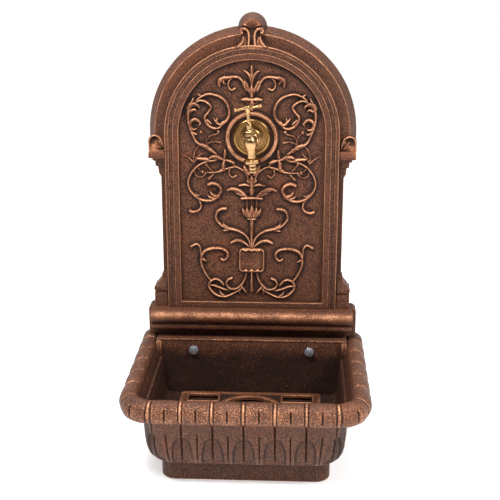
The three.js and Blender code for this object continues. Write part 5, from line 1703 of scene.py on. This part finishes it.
# %% [markdown]
# ## The screws
# Two screws hold the basin to the wall. One is modelled, and a tree sets a copy at each point:
# the same tree would set two hundred.

# %% Screws
def screw_tree():
    tree = Tree("Screws", {"Screw": "Object", "Material": "Material"})
    given = tree.inputs
    one = tree.node("GeometryNodeObjectInfo", {"Object": given["Screw"]}).outputs["Geometry"]
    copies = tree.node("GeometryNodeInstanceOnPoints", {"Points": given["Geometry"], "Instance": one})
    tree.finish(copies.outputs[0], given["Material"])
    return tree


def screw_parts():
    """A washer, a hexagon head and a shank."""
    face = back_wall + basin_wall + 0.4
    corner = 13 / math.sqrt(3)
    washer = turned(eased([[0, face], [9, face], [9, face + 1.8], [0, face + 1.8]], 0.4, 1), 40, "forward")
    profile = [[0, face + 1.7], [corner - 0.5, face + 1.7], [corner, face + 2.1], [corner, face + 5.6],
               [corner - 0.5, face + 6.5], [corner - 1.6, face + 7], [0, face + 7.1]]
    head = turned(profile, 6, "forward")
    shaft = turned([[0, 1], [3, 1], [4, 2.2], [4, face + 1], [0, face + 1]], 24, "forward")
    return [washer, head, shaft]


pattern = new_piece("screw_pattern", screw_parts(), 28)
pattern.data.transform(Matrix.Translation((0, -WALL * MM, 0)))
screw_half, screw_height = 108.3, 142.4
screws = line_object("basin_screws", to_frame([[side * screw_half, 0, screw_height] for side in (-1, 1)]))
grow(screws, screw_tree(), {"Screw": pattern, "Material": zinc})
bpy.data.objects.remove(pattern)
tidy_faces(screws, 28)
print("screws:", len(screws.data.polygons), "faces")

# %% [markdown]
# ## What each piece rides on
# The castings and the screws ride on the fountain's body. Each row gives a piece, the solids it
# stands for, which are hidden, and the name of the record's slot for its finish, which the loop
# does not use.

# %% Riding
plate.data.materials.append(plate_paint)
ornament.data.materials.append(plate_paint)
for piece, nodes, slot in (
    (plate, ["back_plate"], "plate_paint"), (ornament, [], "plate_paint"),
    (basin, ["basin"], "basin_paint"), (grate, ["basin_grate"], "grate_paint"),
    (screws, ["basin_screw_left", "basin_screw_right"], "zinc"),
):
    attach(piece, "fountain")
    if nodes:
        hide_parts(*nodes)

# %% [markdown]
# ## Floor, light and camera
# The fountain stands on a plain pale floor in a bright, soft studio. A large light hangs above
# and to the left, a weaker one fills from the right, and the room behind the camera is dimmer, so
# that the brass has something dark to mirror.

# %% Floor
floor_mesh = bpy.data.meshes.new("floor")
floor_reach = 6.0
floor_mesh.from_pydata([(-floor_reach, -floor_reach, 0), (floor_reach, -floor_reach, 0),
                        (floor_reach, floor_reach, 0), (-floor_reach, floor_reach, 0)], [], [[0, 1, 2, 3]])
floor = placed("floor", floor_mesh)
floor_paint = bpy.data.materials.new("Pale floor")
floor_paint.use_nodes = True
floor_surface = floor_paint.node_tree.nodes["Principled BSDF"]
floor_surface.inputs["Base Color"].default_value = (0.92, 0.92, 0.92, 1)
floor_surface.inputs["Roughness"].default_value = 0.9
floor_surface.inputs["Emission Color"].default_value = (1, 1, 1, 1)
floor_surface.inputs["Emission Strength"].default_value = 0.45
floor_mesh.materials.append(floor_paint)
print("floor", floor_reach * 2, "m wide")


# %% Lights
def area_light(name, place, target, size, power, colour=(1, 1, 1)):
    data = bpy.data.lights.new(name, "AREA")
    data.shape = "RECTANGLE"
    data.size, data.size_y = size
    data.energy = power
    data.color = colour
    light = placed(name, data)
    light.location = place
    aim = Vector(target) - light.location
    light.rotation_euler = aim.to_track_quat("-Z", "Y").to_euler()
    return light


area_light("key", (-0.6, -1.0, 2.3), (0, 0, 0.4), (0.8, 0.6), 50)
area_light("fill", (1.4, -0.9, 1.7), (0, 0, 0.4), (0.7, 0.7), 22)
area_light("top", (0, 0.1, 2.6), (0, 0, 0.3), (1.8, 1.2), 16)


def studio_world():
    """A white room, dimmer behind the camera and lighter above."""
    world = bpy.data.worlds.new("studio")
    bpy.context.scene.world = world
    world.use_nodes = True
    tree = world.node_tree
    tree.nodes.clear()
    shader = Shader(tree)
    direction = shader.node("ShaderNodeTexCoord").outputs["Generated"]
    parts = shader.node("ShaderNodeSeparateXYZ", {"Vector": direction})
    towards = shader.step(parts.outputs["Y"], -0.9, 0.5, 0.1, 0.8)
    above = shader.step(parts.outputs["Z"], -0.2, 0.9, 0.6, 1.15)
    lit = shader.times(towards, above)
    seen = shader.node("ShaderNodeLightPath").outputs["Is Camera Ray"]
    strength = shader.math("MAXIMUM", lit, seen)
    background = shader.node("ShaderNodeBackground", {"Color": (1, 1, 1, 1), "Strength": strength})
    out = shader.node("ShaderNodeOutputWorld")
    tree.links.new(background.outputs[0], out.inputs[0])


studio_world()
bpy.context.scene.view_settings.view_transform = "Standard"
print("three lights and a studio world")

# %% [markdown]
# The camera stands a little to the right of the middle and looks down by about 17 degrees, from
# 1.8 m away. A long lens from there keeps the sides of the plate nearly upright.

# %% Camera
camera_data = bpy.data.cameras.new("camera")
camera_data.sensor_width = 36
camera_data.lens = 71.885
camera = placed("camera", camera_data)
camera.location = (0.081, -1.6141, 0.8734)
pitch_deg, roll_deg, yaw_deg = 72.9, 0.0, 2.757
camera.rotation_euler = [math.radians(angle) for angle in (pitch_deg, roll_deg, yaw_deg)]
bpy.context.scene.camera = camera
print("camera at", [round(value, 3) for value in camera.location])
